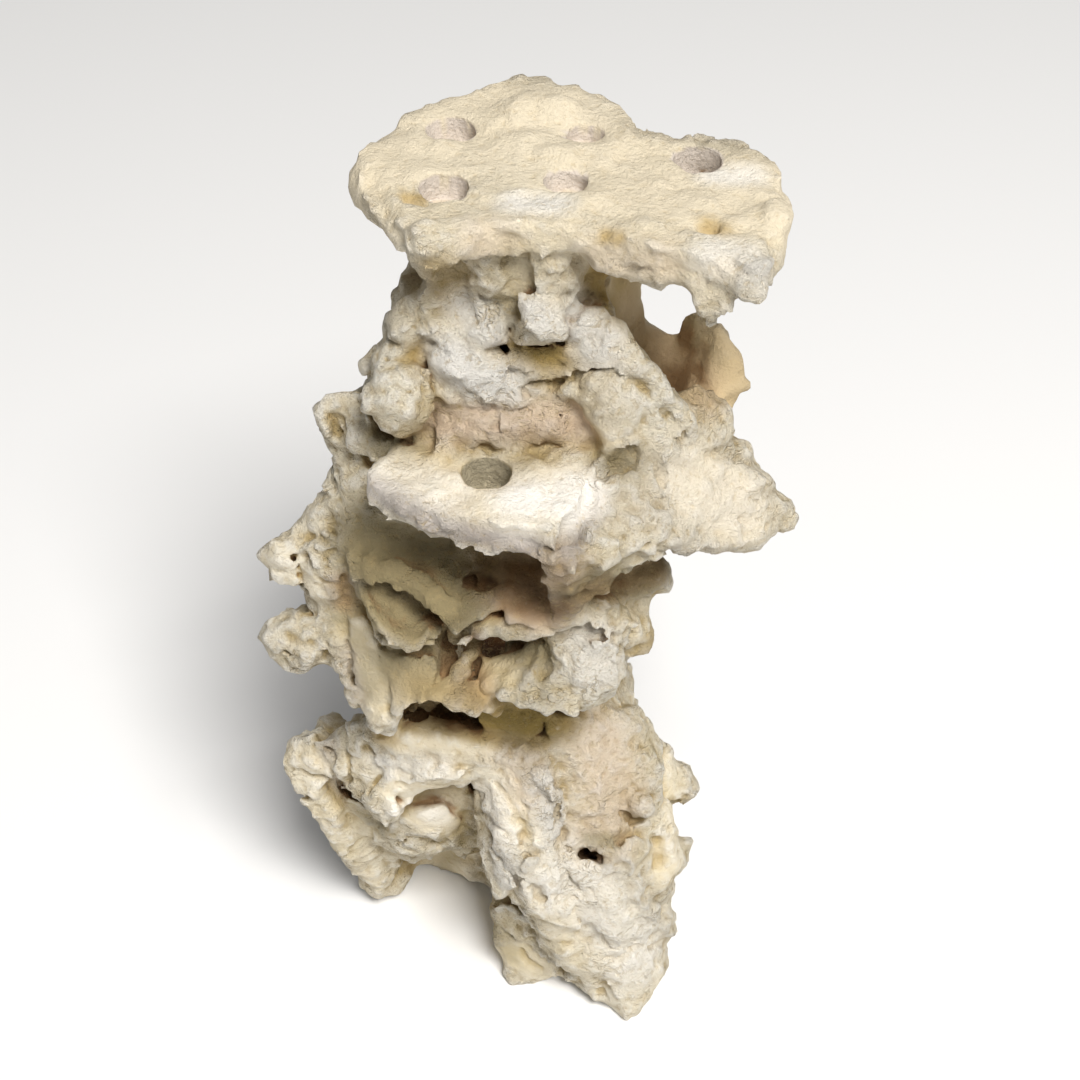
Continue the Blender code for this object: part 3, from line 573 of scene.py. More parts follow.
# Worn or sheltered places, which stay smooth: the reach, how smooth, and a line of pixels.
WORN = {
    "top_left": (22, 0.5, (400, 160), (450, 150), (500, 120), (560, 120)),
    "top_right": (24, 0.5, (560, 160), (620, 180), (690, 190), (750, 200)),
    "top_front": (14, 0.35, (420, 215), (520, 205), (620, 215), (720, 240)),
    "neck_facet": (6, 0.3, (514, 252), (516, 282)),
    "tan_wall": (12, 0.75, (618, 300), (636, 330)),
    "alcove": (14, 0.8, (664, 345), (690, 370), (705, 392)),
    "arch_side": (9, 0.6, (720, 350), (738, 400)),
    "shelf_top": (12, 0.45, (400, 475), (450, 490), (520, 505), (570, 490)),
    "leaf_one": (9, 0.5, (372, 560), (400, 568), (424, 582)),
    "leaf_two": (8, 0.6, (378, 610), (400, 626), (416, 636)),
    "granular": (9, 0.3, (520, 585), (545, 590)),
    "strut": (9, 0.5, (358, 630), (366, 668), (380, 700)),
    "left_leaf": (10, 0.5, (385, 650), (410, 680), (430, 690)),
    "white_plate": (9, 0.65, (500, 676), (530, 684)),
    "slot_ledge": (8, 0.5, (395, 732), (430, 734), (480, 738)),
    "knobs": (8, 0.35, (280, 560), (318, 570), (335, 600)),
    "foot_head": (12, 0.35, (292, 760), (320, 770), (340, 800)),
    "foot_leg": (12, 0.3, (330, 800), (360, 850), (390, 885)),
    "fold": (9, 0.3, (360, 770), (400, 776), (450, 768)),
    "inner_wall": (14, 0.6, (414, 792), (450, 800), (440, 870)),
    "front_ridge": (10, 0.4, (500, 770), (520, 830)),
    "pink_flank": (14, 0.15, (600, 750), (610, 820)),
    "front_toe": (18, 0.3, (560, 880), (600, 930), (630, 990)),
    "right_lumps": (12, 0.4, (665, 780), (672, 860)),
    "wing": (12, 0.35, (690, 480), (740, 510)),
    "rims": (6, 0.6, (440, 600), (470, 612), (510, 608), (550, 615)),
    "heel": (9, 0.7, (500, 930), (520, 950), (540, 965)),
    "second_tier": (8, 0.6, (596, 400), (604, 425)),
}

# Tints, later ones over earlier: the colour, then places, each with its reach in millimetres, its
# strength and a line of pixels. Pink and pale are the stone's own tones; cream is partly painted shade;
# the others are painted shade and shadow in hollows and under overhangs, and painted light on lit faces.
TINTS = {
    "pink": (
        (0.76, 0.58, 0.44),
        (7, 0.7, (440, 420), (500, 418), (580, 420)),
        (10, 0.6, (540, 575), (540, 600)),
        (6, 0.5, (480, 240), (500, 246)),
        (6, 0.5, (600, 258), (660, 262)),
        (12, 0.45, (600, 740), (612, 800), (600, 830)),
        (9, 0.35, (520, 750), (530, 790)),
    ),
    # The stone's cream tone on the shelf tops and the yellow lump, laid on also as painted shade that
    # dims these up-facing tops.
    "cream": (
        (0.74, 0.65, 0.49),
        (34, 0.9, (400, 150), (480, 120), (560, 130), (640, 180), (750, 190)),
        (16, 0.6, (400, 200), (560, 215), (700, 230)),
        (10, 0.25, (400, 470), (440, 490), (480, 500)),
        (8, 0.6, (596, 385), (606, 420)),
    ),
    # Painted shade, near black-brown, on the leaves, strut and hollows under the middle shelf, under the
    # fin, in the side cave and beside the peg.
    "painted_hollow_shade": (
        (0.25, 0.2, 0.11),
        (12, 0.9, (372, 560), (400, 570), (424, 584), (448, 604)),
        (8, 0.9, (376, 604), (396, 620), (416, 630)),
        (7, 0.5, (430, 560), (445, 600)),
        (8, 0.4, (392, 665), (425, 675)),
        (6, 0.3, (356, 640), (366, 680)),
        (6, 0.8, (512, 648), (545, 646)),
        (8, 0.9, (580, 590), (640, 575)),
        (5, 0.7, (608, 474), (630, 456)),
        (4, 0.4, (500, 344), (506, 300)),
    ),
    # Painted shade, green-brown, under the shelves and the neck, in the hollow's leaves and crevices, in
    # the folds of the feet, under the heel and over the through hole.
    "olive": (
        (0.4, 0.33, 0.19),
        (13, 1.0, (376, 545), (400, 570), (420, 580)),
        (10, 1.0, (430, 556), (450, 600)),
        (8, 0.6, (356, 640), (372, 690)),
        (7, 0.8, (375, 600), (400, 620), (420, 620)),
        (6, 0.8, (510, 650), (545, 650)),
        (7, 0.45, (502, 680), (545, 692)),
        (5, 0.9, (350, 590), (345, 620)),
        (5, 0.7, (508, 640), (540, 640)),
        (5, 0.5, (512, 256), (516, 286)),
        (9, 0.9, (396, 670), (425, 680)),
        (6, 0.8, (382, 446), (400, 452)),
        (6, 0.7, (610, 470), (625, 462)),
        (6, 0.5, (425, 800), (455, 815)),
        (5, 0.6, (362, 812), (384, 830)),
        (5, 0.6, (445, 870), (460, 830)),
        (6, 0.5, (520, 962), (540, 968)),
        (7, 0.7, (496, 935), (512, 955)),
        (3, 0.9, (590, 841), (612, 842)),
        (4, 0.7, (500, 300), (508, 330)),
        (8, 0.8, (600, 575), (650, 562)),
    ),
    # Painted shade, brown, under the middle shelf and its leaves, in the slit, holes and recess of the
    # hollow, in the slot, under the fin and in a crease of the knobs.
    "brown": (
        (0.4, 0.25, 0.12),
        (9, 0.7, (500, 575), (530, 580), (555, 570)),
        (7, 0.9, (514, 598), (540, 604), (558, 606)),
        (4, 1.0, (470, 582), (495, 584)),
        (6, 0.9, (450, 660), (470, 680), (476, 690)),
        (5, 1.0, (490, 643), (492, 650)),
        (6, 1.0, (410, 714), (450, 712), (490, 716)),
        (6, 0.9, (590, 590), (620, 575), (650, 566)),
        (3, 0.9, (503, 605), (504, 614)),
        (4, 0.7, (340, 580), (344, 600)),
    ),
    # Painted shadow, near black, in the dark hole, the slot, the slit, the gap under the peg, the through
    # hole and under the inner leaf.
    "dark": (
        (0.07, 0.03, 0.012),
        (9.0, 1.0, (486, 645), (494, 649)),
        (2.4, 0.7, (436, 712), (462, 720), (478, 726)),
        (2.0, 0.8, (472, 580), (492, 582)),
        (2.6, 0.7, (498, 344), (512, 347)),
        (4.0, 0.9, (588, 857), (600, 857)),
        (7.0, 0.5, (510, 590), (528, 598), (552, 603)),
    ),
    # Painted shade, tan, in the arch under the top shelf and on the low rim over the slot.
    "tan": (
        (0.5, 0.39, 0.23),
        (12, 1.0, (712, 345), (728, 370), (734, 392)),
        (5, 0.6, (655, 325), (690, 330)),
        (6, 0.5, (400, 690), (430, 686), (470, 698)),
    ),
    # Painted shade, golden brown, under the peg and the left lobe, on the wall behind the slot, by the
    # arch and in the top shelf's cracks, slits and holes.
    "gold": (
        (0.5, 0.35, 0.13),
        (6, 1.0, (515, 352), (555, 352)),
        (6, 0.7, (436, 270), (450, 284)),
        (9, 1.0, (500, 715), (530, 718), (560, 725)),
        (5, 0.4, (420, 690), (460, 696), (480, 700)),
        (10, 0.5, (620, 300), (640, 330)),
        (6, 1.0, (598, 272), (602, 300)),
        (4, 0.7, (380, 736), (392, 737)),
        (3, 0.8, (415, 350), (420, 366)),
        (2, 0.8, (604, 236), (620, 238)),
        (3, 0.8, (708, 226), (722, 232)),
        (3, 0.7, (722, 265), (736, 268)),
        (2, 0.8, (406, 197), (422, 199)),
        (5, 0.6, (660, 636), (640, 650)),
    ),
    # Painted shade, darker still, over the leaves under the middle shelf, the fin's hollow and the left
    # leaf.
    "painted_deeper_shade": (
        (0.25, 0.2, 0.1),
        (8, 0.75, (370, 566), (400, 574), (424, 588), (448, 608)),
        (7, 0.6, (376, 606), (396, 622), (416, 636)),
        (8, 0.5, (584, 588), (640, 568)),
        (8, 0.35, (392, 668), (425, 678)),
    ),
    # Painted shade, warm tan, in the alcove under the top shelf and on the wall beside it.
    "warm": (
        (0.72, 0.55, 0.34),
        (7, 1.0, (660, 340), (668, 366), (690, 384), (705, 395)),
        (8, 0.6, (628, 310), (644, 334)),
    ),
    "pale": (
        (0.79, 0.72, 0.6),
        (13, 0.8, (684, 482), (712, 490), (748, 508)),
        (8, 0.5, (600, 500), (640, 505), (676, 510)),
        (8, 0.5, (690, 540), (730, 545)),
    ),
    # Painted shade, dark golden brown, on the wall behind the slot and in the hollow under the peg.
    "umber": (
        (0.38, 0.27, 0.08),
        (8, 1.0, (488, 718), (515, 722), (536, 724)),
        (3, 0.6, (512, 354), (555, 354)),
    ),
    # Painted shadow, red-brown, in the slot and by the dark hole.
    "painted_red_brown_shadow": (
        (0.24, 0.11, 0.035),
        (3.4, 1.0, (412, 717), (430, 714), (450, 719), (468, 724)),
        (3, 0.6, (476, 638), (498, 638)),
    ),
    # Painted shade, grey, on faces turned from the lamp: the middle shelf's front and right side, the
    # strut and the left of the foot's head.
    "grey": (
        (0.52, 0.46, 0.41),
        (5, 1.0, (372, 486), (400, 508), (440, 528), (480, 538), (530, 544)),
        (4, 0.9, (568, 548), (584, 522), (592, 496)),
        (4, 0.5, (350, 650), (356, 700)),
        (4, 0.5, (330, 745), (345, 790)),
    ),
    # Painted light, near white, on faces that the lamp lights: the middle shelf's top, the ledge and the
    # blocks of the neck, the top shelf's edges, the crumbly block and the front and toe of the feet.
    "white": (
        (0.93, 0.9, 0.84),
        (9, 1.0, (520, 500), (560, 500), (575, 488)),
        (8, 0.5, (392, 474), (420, 484), (450, 495)),
        (8, 1.0, (450, 360), (470, 380), (500, 385)),
        (6, 0.8, (465, 305), (485, 330)),
        (5, 0.8, (530, 310), (550, 325)),
        (7, 0.8, (575, 320), (600, 345)),
        (5, 0.8, (515, 202), (555, 204)),
        (5, 0.7, (715, 177), (748, 177)),
        (7, 0.7, (720, 252), (765, 262)),
        (8, 0.7, (590, 640), (600, 670)),
        (7, 0.7, (490, 800), (500, 850), (505, 880)),
        (5, 0.7, (545, 780), (552, 840)),
        (14, 0.6, (560, 880), (600, 900), (640, 960)),
        (5, 0.6, (380, 764), (440, 768)),
        (6, 0.6, (395, 815), (440, 815)),
    ),
}

rng = np.random.default_rng(SEED)


def vertex_places(mesh):
    """The mesh's vertices, in millimetres."""
    points = np.empty(len(mesh.vertices) * 3, np.float32)
    mesh.vertices.foreach_get("co", points)
    return points.reshape(-1, 3) / MM


class Field:
    """Signed distance to the rock's surface on a regular grid, negative inside, in millimetres."""

    def __init__(self, node):
        mesh = node.data
        points = vertex_places(mesh)
        mesh.calc_loop_triangles()
        corners = np.empty(len(mesh.loop_triangles) * 3, np.int32)
        mesh.loop_triangles.foreach_get("vertices", corners)
        self.move = openvdb.createLinearTransform(voxelSize=CELL)
        grid = openvdb.FloatGrid.createLevelSetFromPolygons(
            points,
            triangles=corners.reshape(-1, 3).astype(np.uint32),
            transform=self.move,
            halfWidth=REACH / CELL,
        )
        low = np.floor((points.min(0) - ROOM) / CELL).astype(int)
        high = np.ceil((points.max(0) + ROOM) / CELL).astype(int)
        self.first = tuple(int(value) for value in low)
        self.low = low * CELL
        self.value = np.zeros(tuple(high - low + 1), np.float32)
        grid.copyToArray(self.value, ijk=self.first)
        counts = self.value.shape
        self.axes = [self.low[i] + CELL * np.arange(counts[i], dtype=np.float32) for i in range(3)]

    def with_values(self, value):
        """The same grid with other values."""
        other = copy.copy(self)
        other.value = value
        return other

    def window(self, low, high):
        """The part of the grid that covers a box: its slices and the places of its cells."""
        cuts = []
        for i in range(3):
            start = int(np.clip((low[i] - self.low[i]) // CELL, 0, self.value.shape[i]))
            stop = int(np.clip((high[i] - self.low[i]) // CELL + 2, 0, self.value.shape[i]))
            cuts.append(slice(start, stop))
        x, y, z = (self.axes[i][cuts[i]] for i in range(3))
        return tuple(cuts), x[:, None, None], y[None, :, None], z[None, None, :]

    def sample(self, points):
        """The value at each point, interpolated between cells."""
        place = (np.asarray(points, np.float32) - self.low.astype(np.float32)) / CELL
        place = np.clip(place, 0, np.array(self.value.shape, np.float32) - LAST_CELL)
        cell = place.astype(int)
        part = place - cell
        total = np.zeros(len(place), np.float32)
        for dx, dy, dz in itertools.product((0, 1), repeat=3):
            share = (
                (part[:, 0] if dx else 1 - part[:, 0])
                * (part[:, 1] if dy else 1 - part[:, 1])
                * (part[:, 2] if dz else 1 - part[:, 2])
            )
            total += share * self.value[cell[:, 0] + dx, cell[:, 1] + dy, cell[:, 2] + dz]
        return total

    def slope(self, points):
        """Unit vectors that point out of the rock."""
        points = np.asarray(points, np.float32)
        out = np.empty_like(points)
        for i in range(3):
            shift = np.zeros(3, np.float32)
            shift[i] = SLOPE_STEP
            out[:, i] = self.sample(points + shift) - self.sample(points - shift)
        return out / np.maximum(np.linalg.norm(out, axis=1, keepdims=True), TINY)

    def near_surface(self, band):
        """The cells within the band round the surface: their flat numbers and their grid places."""
        flat = np.flatnonzero(np.abs(self.value.ravel()) < band)
        return flat, np.stack(np.unravel_index(flat, self.value.shape), 1).astype(np.float32)

    def join(self, cuts, form, blend):
        """Add a form to the rock."""
        self.value[cuts] = soft_min(self.value[cuts], form, blend)

    def carve(self, cuts, form, blend):
        """Take a form out of the rock."""
        self.value[cuts] = -soft_min(-self.value[cuts], form, blend)


def soft_min(a, b, blend):
    """The smaller of two fields, with their meeting line rounded over about `blend` millimetres."""
    share = np.clip(0.5 + 0.5 * (b - a) / blend, 0, 1)
    return b + (a - b) * share - blend * share * (1 - share)


def limb(x, y, z, start, end, start_radius, end_radius):
    """Distance to a round limb between two points, whose radius changes along it."""
    run = np.subtract(end, start)
    length = float(run @ run)
    along = 0.0
    if length >= TINY:
        along = ((x - start[0]) * run[0] + (y - start[1]) * run[1] + (z - start[2]) * run[2]) / length
        along = np.clip(along, 0, 1)
    across = (
        (x - start[0] - along * run[0]) ** 2
        + (y - start[1] - along * run[1]) ** 2
        + (z - start[2] - along * run[2]) ** 2
    )
    return np.sqrt(across) - (start_radius + (end_radius - start_radius) * along)


def shape_limb(field, start, end, radii, blend, carved):
    """Join a limb to the rock, or carve it out."""
    reach = max(radii) + blend + CELL
    cuts, x, y, z = field.window(np.minimum(start, end) - reach, np.maximum(start, end) + reach)
    form = limb(x, y, z, start, end, *radii)
    if carved:
        field.carve(cuts, form, blend)
    else:
        field.join(cuts, form, blend)


def gaze(u, v):
    """The direction from the camera through a pixel of the photograph's frame."""
    pitch = math.radians(PITCH)
    right = (u - FRAME_SIDE / 2) / FOCAL
    up = (FRAME_SIDE / 2 - v) / FOCAL
    ahead = np.array((0, math.cos(pitch), -math.sin(pitch)))
    return ahead + right * np.array((1, 0, 0)) + up * np.array((0, math.sin(pitch), math.cos(pitch)))


def spot(u, v, depth):
    """The point behind a pixel at a distance in front of the camera."""
    return np.array(EYE) + depth * gaze(u, v)


def level_point(u, v, top):
    """Where the pixel's line of sight meets the level z = top."""
    way = gaze(u, v)
    return np.array(EYE) + way * (top - EYE[2]) / way[2]


def seen(field, u, v):
    """The point of the rock's surface that the pixel shows, and the way out of the rock there."""
    way = gaze(u, v)
    way /= np.linalg.norm(way)
    points = np.array(EYE) + np.arange(*SIGHT, CELL / 2)[:, None] * way
    depth = field.sample(points)
    inside = np.flatnonzero(depth < 0)
    near = inside[0] if len(inside) else np.argmin(depth)
    point = points[int(near)]
    return point, field.slope(point[None])[0]


def between(line, step):
    """The line's pixels with more put in between, at most `step` apart."""
    pixels = [line[0]]
    for (u, v), (end_u, end_v) in zip(line, line[1:]):
        count = max(1, math.ceil(math.hypot(end_u - u, end_v - v) / step))
        for i in range(1, count + 1):
            pixels.append((u + (end_u - u) * i / count, v + (end_v - v) * i / count))
    return pixels


def stroke(field, ground, radius, height, *line):
    """A ridge or, below zero, a groove that follows the ground along a line of pixels."""
    rise = height - radius if height > 0 else height + radius
    axis = []
    for u, v in between(line, STROKE_STEP):
        point, out = seen(ground, u, v)
        axis.append(point + out * rise)
    radii = [radius] * len(axis)
    if len(axis) > 2:
        radii[0] = radii[-1] = radius * END_SHARE
    for i in range(len(axis) - 1):
        if np.linalg.norm(axis[i + 1] - axis[i]) < STROKE_JUMP:
            shape_limb(field, axis[i], axis[i + 1], radii[i : i + 2], BLEND_SHARE * radius, height < 0)


def from_outline(corners, free, x, y):
    """Distance to a closed outline, what is inside, and where one of its first edges is the nearest."""
    away = np.full(x.shape, FAR)
    inside = np.zeros(x.shape, bool)
    loose = np.zeros(x.shape, bool)
    for i, ((ax, ay), (bx, by)) in enumerate(zip(corners, np.roll(corners, -1, axis=0))):
        run = (bx - ax) ** 2 + (by - ay) ** 2
        share = np.clip(((x - ax) * (bx - ax) + (y - ay) * (by - ay)) / run, 0, 1)
        far = np.hypot(x - ax - share * (bx - ax), y - ay - share * (by - ay))
        loose = np.where(far < away, i < free, loose)
        away = np.minimum(away, far)
        crossed = (ay > y) != (by > y)
        with np.errstate(divide="ignore", invalid="ignore"):
            inside ^= crossed & (x < (bx - ax) * (y - ay) / (by - ay) + ax)
    return away, inside, loose


def add_shelf(field, outline, free, top, thick, lean):
    """A flat plate with a crisp upper edge, whose side leans inwards as it goes down.

    The first `free` edges stand free: what sticks out beside and under them is cut away.
    """
    corners = np.array([level_point(u, v, top)[:2] for u, v in outline])
    places, depths = zip(*thick)
    low = (*(corners.min(0) - SHELF_CLEAR), top - max(depths) - SHELF_CLEAR)
    high = (*(corners.max(0) + SHELF_CLEAR), top + SHELF_ABOVE)
    cuts, x, y, z = field.window(low, high)
    x, y = np.broadcast_arrays(x[:, :, 0], y[:, :, 0])
    away, inside, loose = from_outline(corners, free, x, y)
    depth = np.interp(x, places, depths)[:, :, None]
    flat = np.where(inside, -away, away)[:, :, None]
    side = flat + lean * (top - z)
    form = np.maximum(np.maximum(side, z - top), top - depth - z).astype(np.float32)
    beside = np.maximum(np.maximum(-side, side - SHELF_CLEAR), top - depth - z)
    under = np.maximum(np.maximum(z - top + depth, top - depth - SHELF_CLEAR - z), -flat - SHELF_CLEAR)
    under = np.maximum(under, flat - SHELF_CLEAR)
    gap = np.where(loose[:, :, None], np.minimum(beside, under), REACH).astype(np.float32)
    field.value[cuts] = np.maximum(field.value[cuts], -gap)
    field.join(cuts, form, SHELF_BLEND)


def triangle_distance(places, a, b, c):
    """Distance from each place to a triangle."""
    corners, runs = (a, b, c), (b - a, c - b, a - c)
    starts = [places - corner for corner in corners]
    normal = np.cross(runs[0], runs[2])
    sides = sum(np.sign(start @ np.cross(run, normal)) for start, run in zip(starts, runs))
    edges = np.full(len(places), FAR)
    for start, run in zip(starts, runs):
        share = np.clip(start @ run / (run @ run), 0, 1)
        edges = np.minimum(edges, ((start - share[:, None] * run) ** 2).sum(1))
    flat = (starts[0] @ normal) ** 2 / (normal @ normal)
    return np.sqrt(np.where(sides < 2, edges, flat))


def add_leaf(field, thick, upper, lower):
    """A thin leaf between two rows of pixels with their distances."""
    upper, lower = ([spot(*corner) for corner in row] for row in (upper, lower))
    room = thick + FORM_ROOM
    for a, b, c, d in zip(upper, upper[1:], lower, lower[1:]):
        for corners in ((a, b, c), (b, d, c)):
            corners = np.array(corners)
            cuts, x, y, z = field.window(corners.min(0) - room, corners.max(0) + room)
            x, y, z = np.broadcast_arrays(x, y, z)
            places = np.stack((x.ravel(), y.ravel(), z.ravel()), 1).astype(np.float64)
            form = triangle_distance(places, *corners).reshape(x.shape) - thick / 2
            field.join(cuts, form.astype(np.float32), BLEND_SHARE * thick)


def hull_planes(hull):
    """The outward normal and the distance of each face of the hull of a mesh's points."""
    middle = np.array([vert.co for vert in hull.verts]).mean(0)
    bmesh.ops.convex_hull(hull, input=hull.verts)
    planes = []
    for face in hull.faces:
        face.normal_update()
        out = np.array(face.normal)
        start = np.array(face.verts[0].co)
        if out @ (start - middle) < 0:
            out = -out
        planes.append((out, out @ start))
    return planes


def add_block(field, root, *corners):
    """A broken block: the hull of its corners and of the same corners sunk into the rock."""
    hull = bmesh.new()
    for u, v, depth in corners:
        hull.verts.new(spot(u, v, depth))
        hull.verts.new(spot(u, v, depth + root))
    places = np.array([vert.co for vert in hull.verts])
    planes = hull_planes(hull)
    hull.free()
    cuts, x, y, z = field.window(places.min(0) - FORM_ROOM, places.max(0) + FORM_ROOM)
    form = np.full(field.value[cuts].shape, -FAR, np.float32)
    for out, far in planes:
        form = np.maximum(form, (x * out[0] + y * out[1] + z * out[2] - far).astype(np.float32))
    field.join(cuts, form, BLOCK_BLEND)


def dig_hollow(field, balls):
    """Carve a chain of balls out of the rock."""
    places = [spot(*ball[:3]) for ball in balls]
    for i in range(len(balls) - 1):
        shape_limb(field, places[i], places[i + 1], (balls[i][3], balls[i + 1][3]), HOLLOW_BLEND, True)


def worn_map(ground):
    """How worn each place is, from 0 to 1."""
    worn = np.zeros_like(ground.value)
    for reach, share, *line in WORN.values():
        points = [seen(ground, u, v)[0] for u, v in line]
        for start, end in zip(points, points[1:]):
            cuts, x, y, z = ground.window(np.minimum(start, end) - reach, np.maximum(start, end) + reach)
            form = limb(x, y, z, start, end, reach, reach)
            here = share * np.clip(-form / (WORN_EDGE * reach), 0, 1)
            worn[cuts] = np.maximum(worn[cuts], here)
    return worn


def add_forms(field):
    """Draw every form, and return the map of worn places.

    Worn places and the forms of the hollow follow the plain solid, and all other strokes follow the
    surface as it is after the blocks and leaves. Grooves are drawn before ridges.
    """
    ground = field.with_values(field.value.copy())
    worn = worn_map(ground)
    field.value += (smooth(field.value, WORN_SMOOTH) - field.value) * worn
    for shelf in SHELVES:
        add_shelf(field, *shelf)
    for balls in HOLLOWS.values():
        dig_hollow(field, balls)
    for block in BLOCKS.values():
        add_block(field, *block)
    for leaf in LEAVES.values():
        add_leaf(field, *leaf)
    front = field.with_values(field.value.copy())
    drawn = [(ground, *form) for form in HOLLOW_FORMS.values()]
    drawn += [(front, *form) for form in FRONT_FORMS.values()]
    for form in sorted(drawn, key=lambda form: form[2] > 0):
        stroke(field, *form)
    return worn


def spline_shares(count, start, size):
    """Each grid place's share of the random values around it, by a cubic spline."""
    places = (start + CELL * np.arange(count)) / size
    whole = np.floor(places).astype(int)
    part = places - whole
    first = whole.min() - 1
    shares = np.zeros((count, whole.max() + 3 - first), np.float32)
    rows = np.arange(count)
    curves = (
        (1 - part) ** 3,
        3 * part**3 - 6 * part**2 + 4,
        -3 * part**3 + 3 * part**2 + 3 * part + 1,
        part**3,
    )
    for offset, curve in zip((-1, 0, 1, 2), curves):
        shares[rows, whole + offset - first] += curve / 6
    return shares


def noise(field, size):
    """Smooth random values over the grid, about 1 high, with lumps about 2 sizes across."""
    shares = [spline_shares(field.value.shape[i], field.low[i], size) for i in range(3)]
    values = rng.standard_normal([share.shape[1] for share in shares]).astype(np.float32)
    values = np.tensordot(shares[0], values, axes=(1, 0))
    values = np.matmul(shares[1], values)
    values = values @ shares[2].T
    return values / values.std()


def smooth(values, times):
    """A light blur, `times` over."""
    for _ in range(times):
        for axis in range(3):
            inner, before, after = ([slice(None)] * 3 for _ in range(3))
            inner[axis] = slice(1, -1)
            before[axis] = slice(0, -2)
            after[axis] = slice(2, None)
            blurred = values.copy()
            blurred[tuple(inner)] = (
                0.5 * values[tuple(inner)] + 0.25 * values[tuple(before)] + 0.25 * values[tuple(after)]
            )
            values = blurred
    return values


def chip(field, rough, size, lean, step):
    """Break the surface into flat chips: every place moves with the tilted plane of a seed near it."""
    band, cells = field.near_surface(CHIP_BAND)
    place = cells * np.float32(CELL / size)
    first = np.floor(place - 0.5).astype(np.int32) + 1
    shape = first.max(0) + 3
    seeds = rng.uniform(*CHIP_SEEDS, (*shape, 3)).astype(np.float32)
    tilts = rng.standard_normal((*shape, 3)).astype(np.float32)
    tilts *= lean / np.linalg.norm(tilts, axis=-1, keepdims=True)
    lifts = (step * rng.uniform(-1, 1, shape)).astype(np.float32)
    nearest = np.full(len(band), FAR, np.float32)
    height = np.zeros(len(band), np.float32)
    for corner in itertools.product((0, 1), repeat=3):
        at = first + np.array(corner, np.int32)
        key = (at[:, 0], at[:, 1], at[:, 2])
        gap = place - (at - 1) - seeds[key]
        far = (gap * gap).sum(1)
        closer = far < nearest
        nearest[closer] = far[closer]
        chosen = tuple(part[closer] for part in key)
        height[closer] = (gap[closer] * tilts[chosen]).sum(1) + lifts[chosen]
    field.value.reshape(-1)[band] -= rough.reshape(-1)[band] * height


def crumple(field, worn):
    """Swells, then broken chips in three sizes, then crumbs over them."""
    rough = 1 - worn
    z = field.axes[2][None, None, :]
    rough *= 1 - CALM_SHARE * np.clip((z - TOP_SHELF_TOP + CALM_START) / CALM_RUN, 0, 1)
    swells = SWELL_LEAST + (1 - SWELL_LEAST) * rough
    field.value -= swells * SWELL_HEIGHT * noise(field, SWELL_SIZE)
    for size, lean, step in CHIPS:
        chip(field, rough, size, lean, step)
    crumbs = np.abs(noise(field, CRUMB_SIZE)) - CRUMB_LEVEL
    field.value -= rough * CRUMB_HEIGHT * crumbs


def wander(field, worn):
    """Push the surface sideways by smooth random amounts, so that no form stays regular."""
    band, cells = field.near_surface(WANDER_BAND)
    places = field.low.astype(np.float32) + cells * CELL
    loose = WANDER_PUSH * (1 - WANDER_HOLD * worn.ravel()[band])
    for i in range(3):
        places[:, i] += loose * noise(field, WANDER_SIZE).ravel()[band]
    moved = field.value.copy().ravel()
    moved[band] = field.sample(places)
    field.value = moved.reshape(field.value.shape)


def closed_surface(field):
    """The points and the four-sided faces of the field's zero level."""
    grid = openvdb.FloatGrid(REACH)
    grid.copyFromArray(field.value, ijk=field.first, tolerance=0.0)
    grid.transform = field.move
    points, _, quads = grid.convertToPolygons(isovalue=0.0, adaptivity=0.0)
    return points, quads


def dig_pits(field):
    """Small round pits all over."""
    points, _ = closed_surface(field)
    chosen = points[rng.integers(0, len(points), PIT_COUNT)]
    ways = field.slope(chosen)
    radii = rng.uniform(*PIT_SIZES, PIT_COUNT)
    for point, way, radius in zip(chosen, ways, radii):
        centre = point + way * radius * PIT_OUT
        shape_limb(field, centre, centre, (radius, radius), PIT_BLEND, True)


def drill(field, top, x, y, width, depth, lean):
    """A round socket with a flat floor and a slightly worn mouth."""
    tilt = math.radians(lean)
    axis = np.array((math.sin(tilt), 0, math.cos(tilt)))
    floor = np.array((x, y, top)) - axis * depth
    cuts, gx, gy, gz = field.window(floor - width, floor + np.array((width, width, depth + SOCKET_ABOVE)))
    dx, dy, dz = gx - floor[0], gy - floor[1], gz - floor[2]
    along = dx * axis[0] + dy * axis[1] + dz * axis[2]
    across = np.sqrt(np.maximum(dx**2 + dy**2 + dz**2 - along**2, 0))
    field.carve(cuts, np.maximum(across - width / 2, -along), SOCKET_BLEND)


def drill_sockets(field):
    for top, sockets, *_ in DRILLED.values():
        for socket in sockets:
            drill(field, top, *socket)


def cut_feet(field):
    """The feet end flat on the floor."""
    z = field.axes[2][None, None, :]
    field.value = np.maximum(field.value, -z)


def mesh_from(points, quads):
    """A mesh of four-sided faces, from points in millimetres."""
    mesh = bpy.data.meshes.new(NAME)
    mesh.vertices.add(len(points))
    mesh.vertices.foreach_set("co", (points * MM).astype(np.float32).ravel())
    mesh.loops.add(len(quads) * 4)
    mesh.loops.foreach_set("vertex_index", quads.astype(np.int32).ravel())
    mesh.polygons.add(len(quads))
    mesh.polygons.foreach_set("loop_start", np.arange(0, len(quads) * 4, 4, dtype=np.int32))
    mesh.update(calc_edges=True)
    mesh.validate()
    return mesh


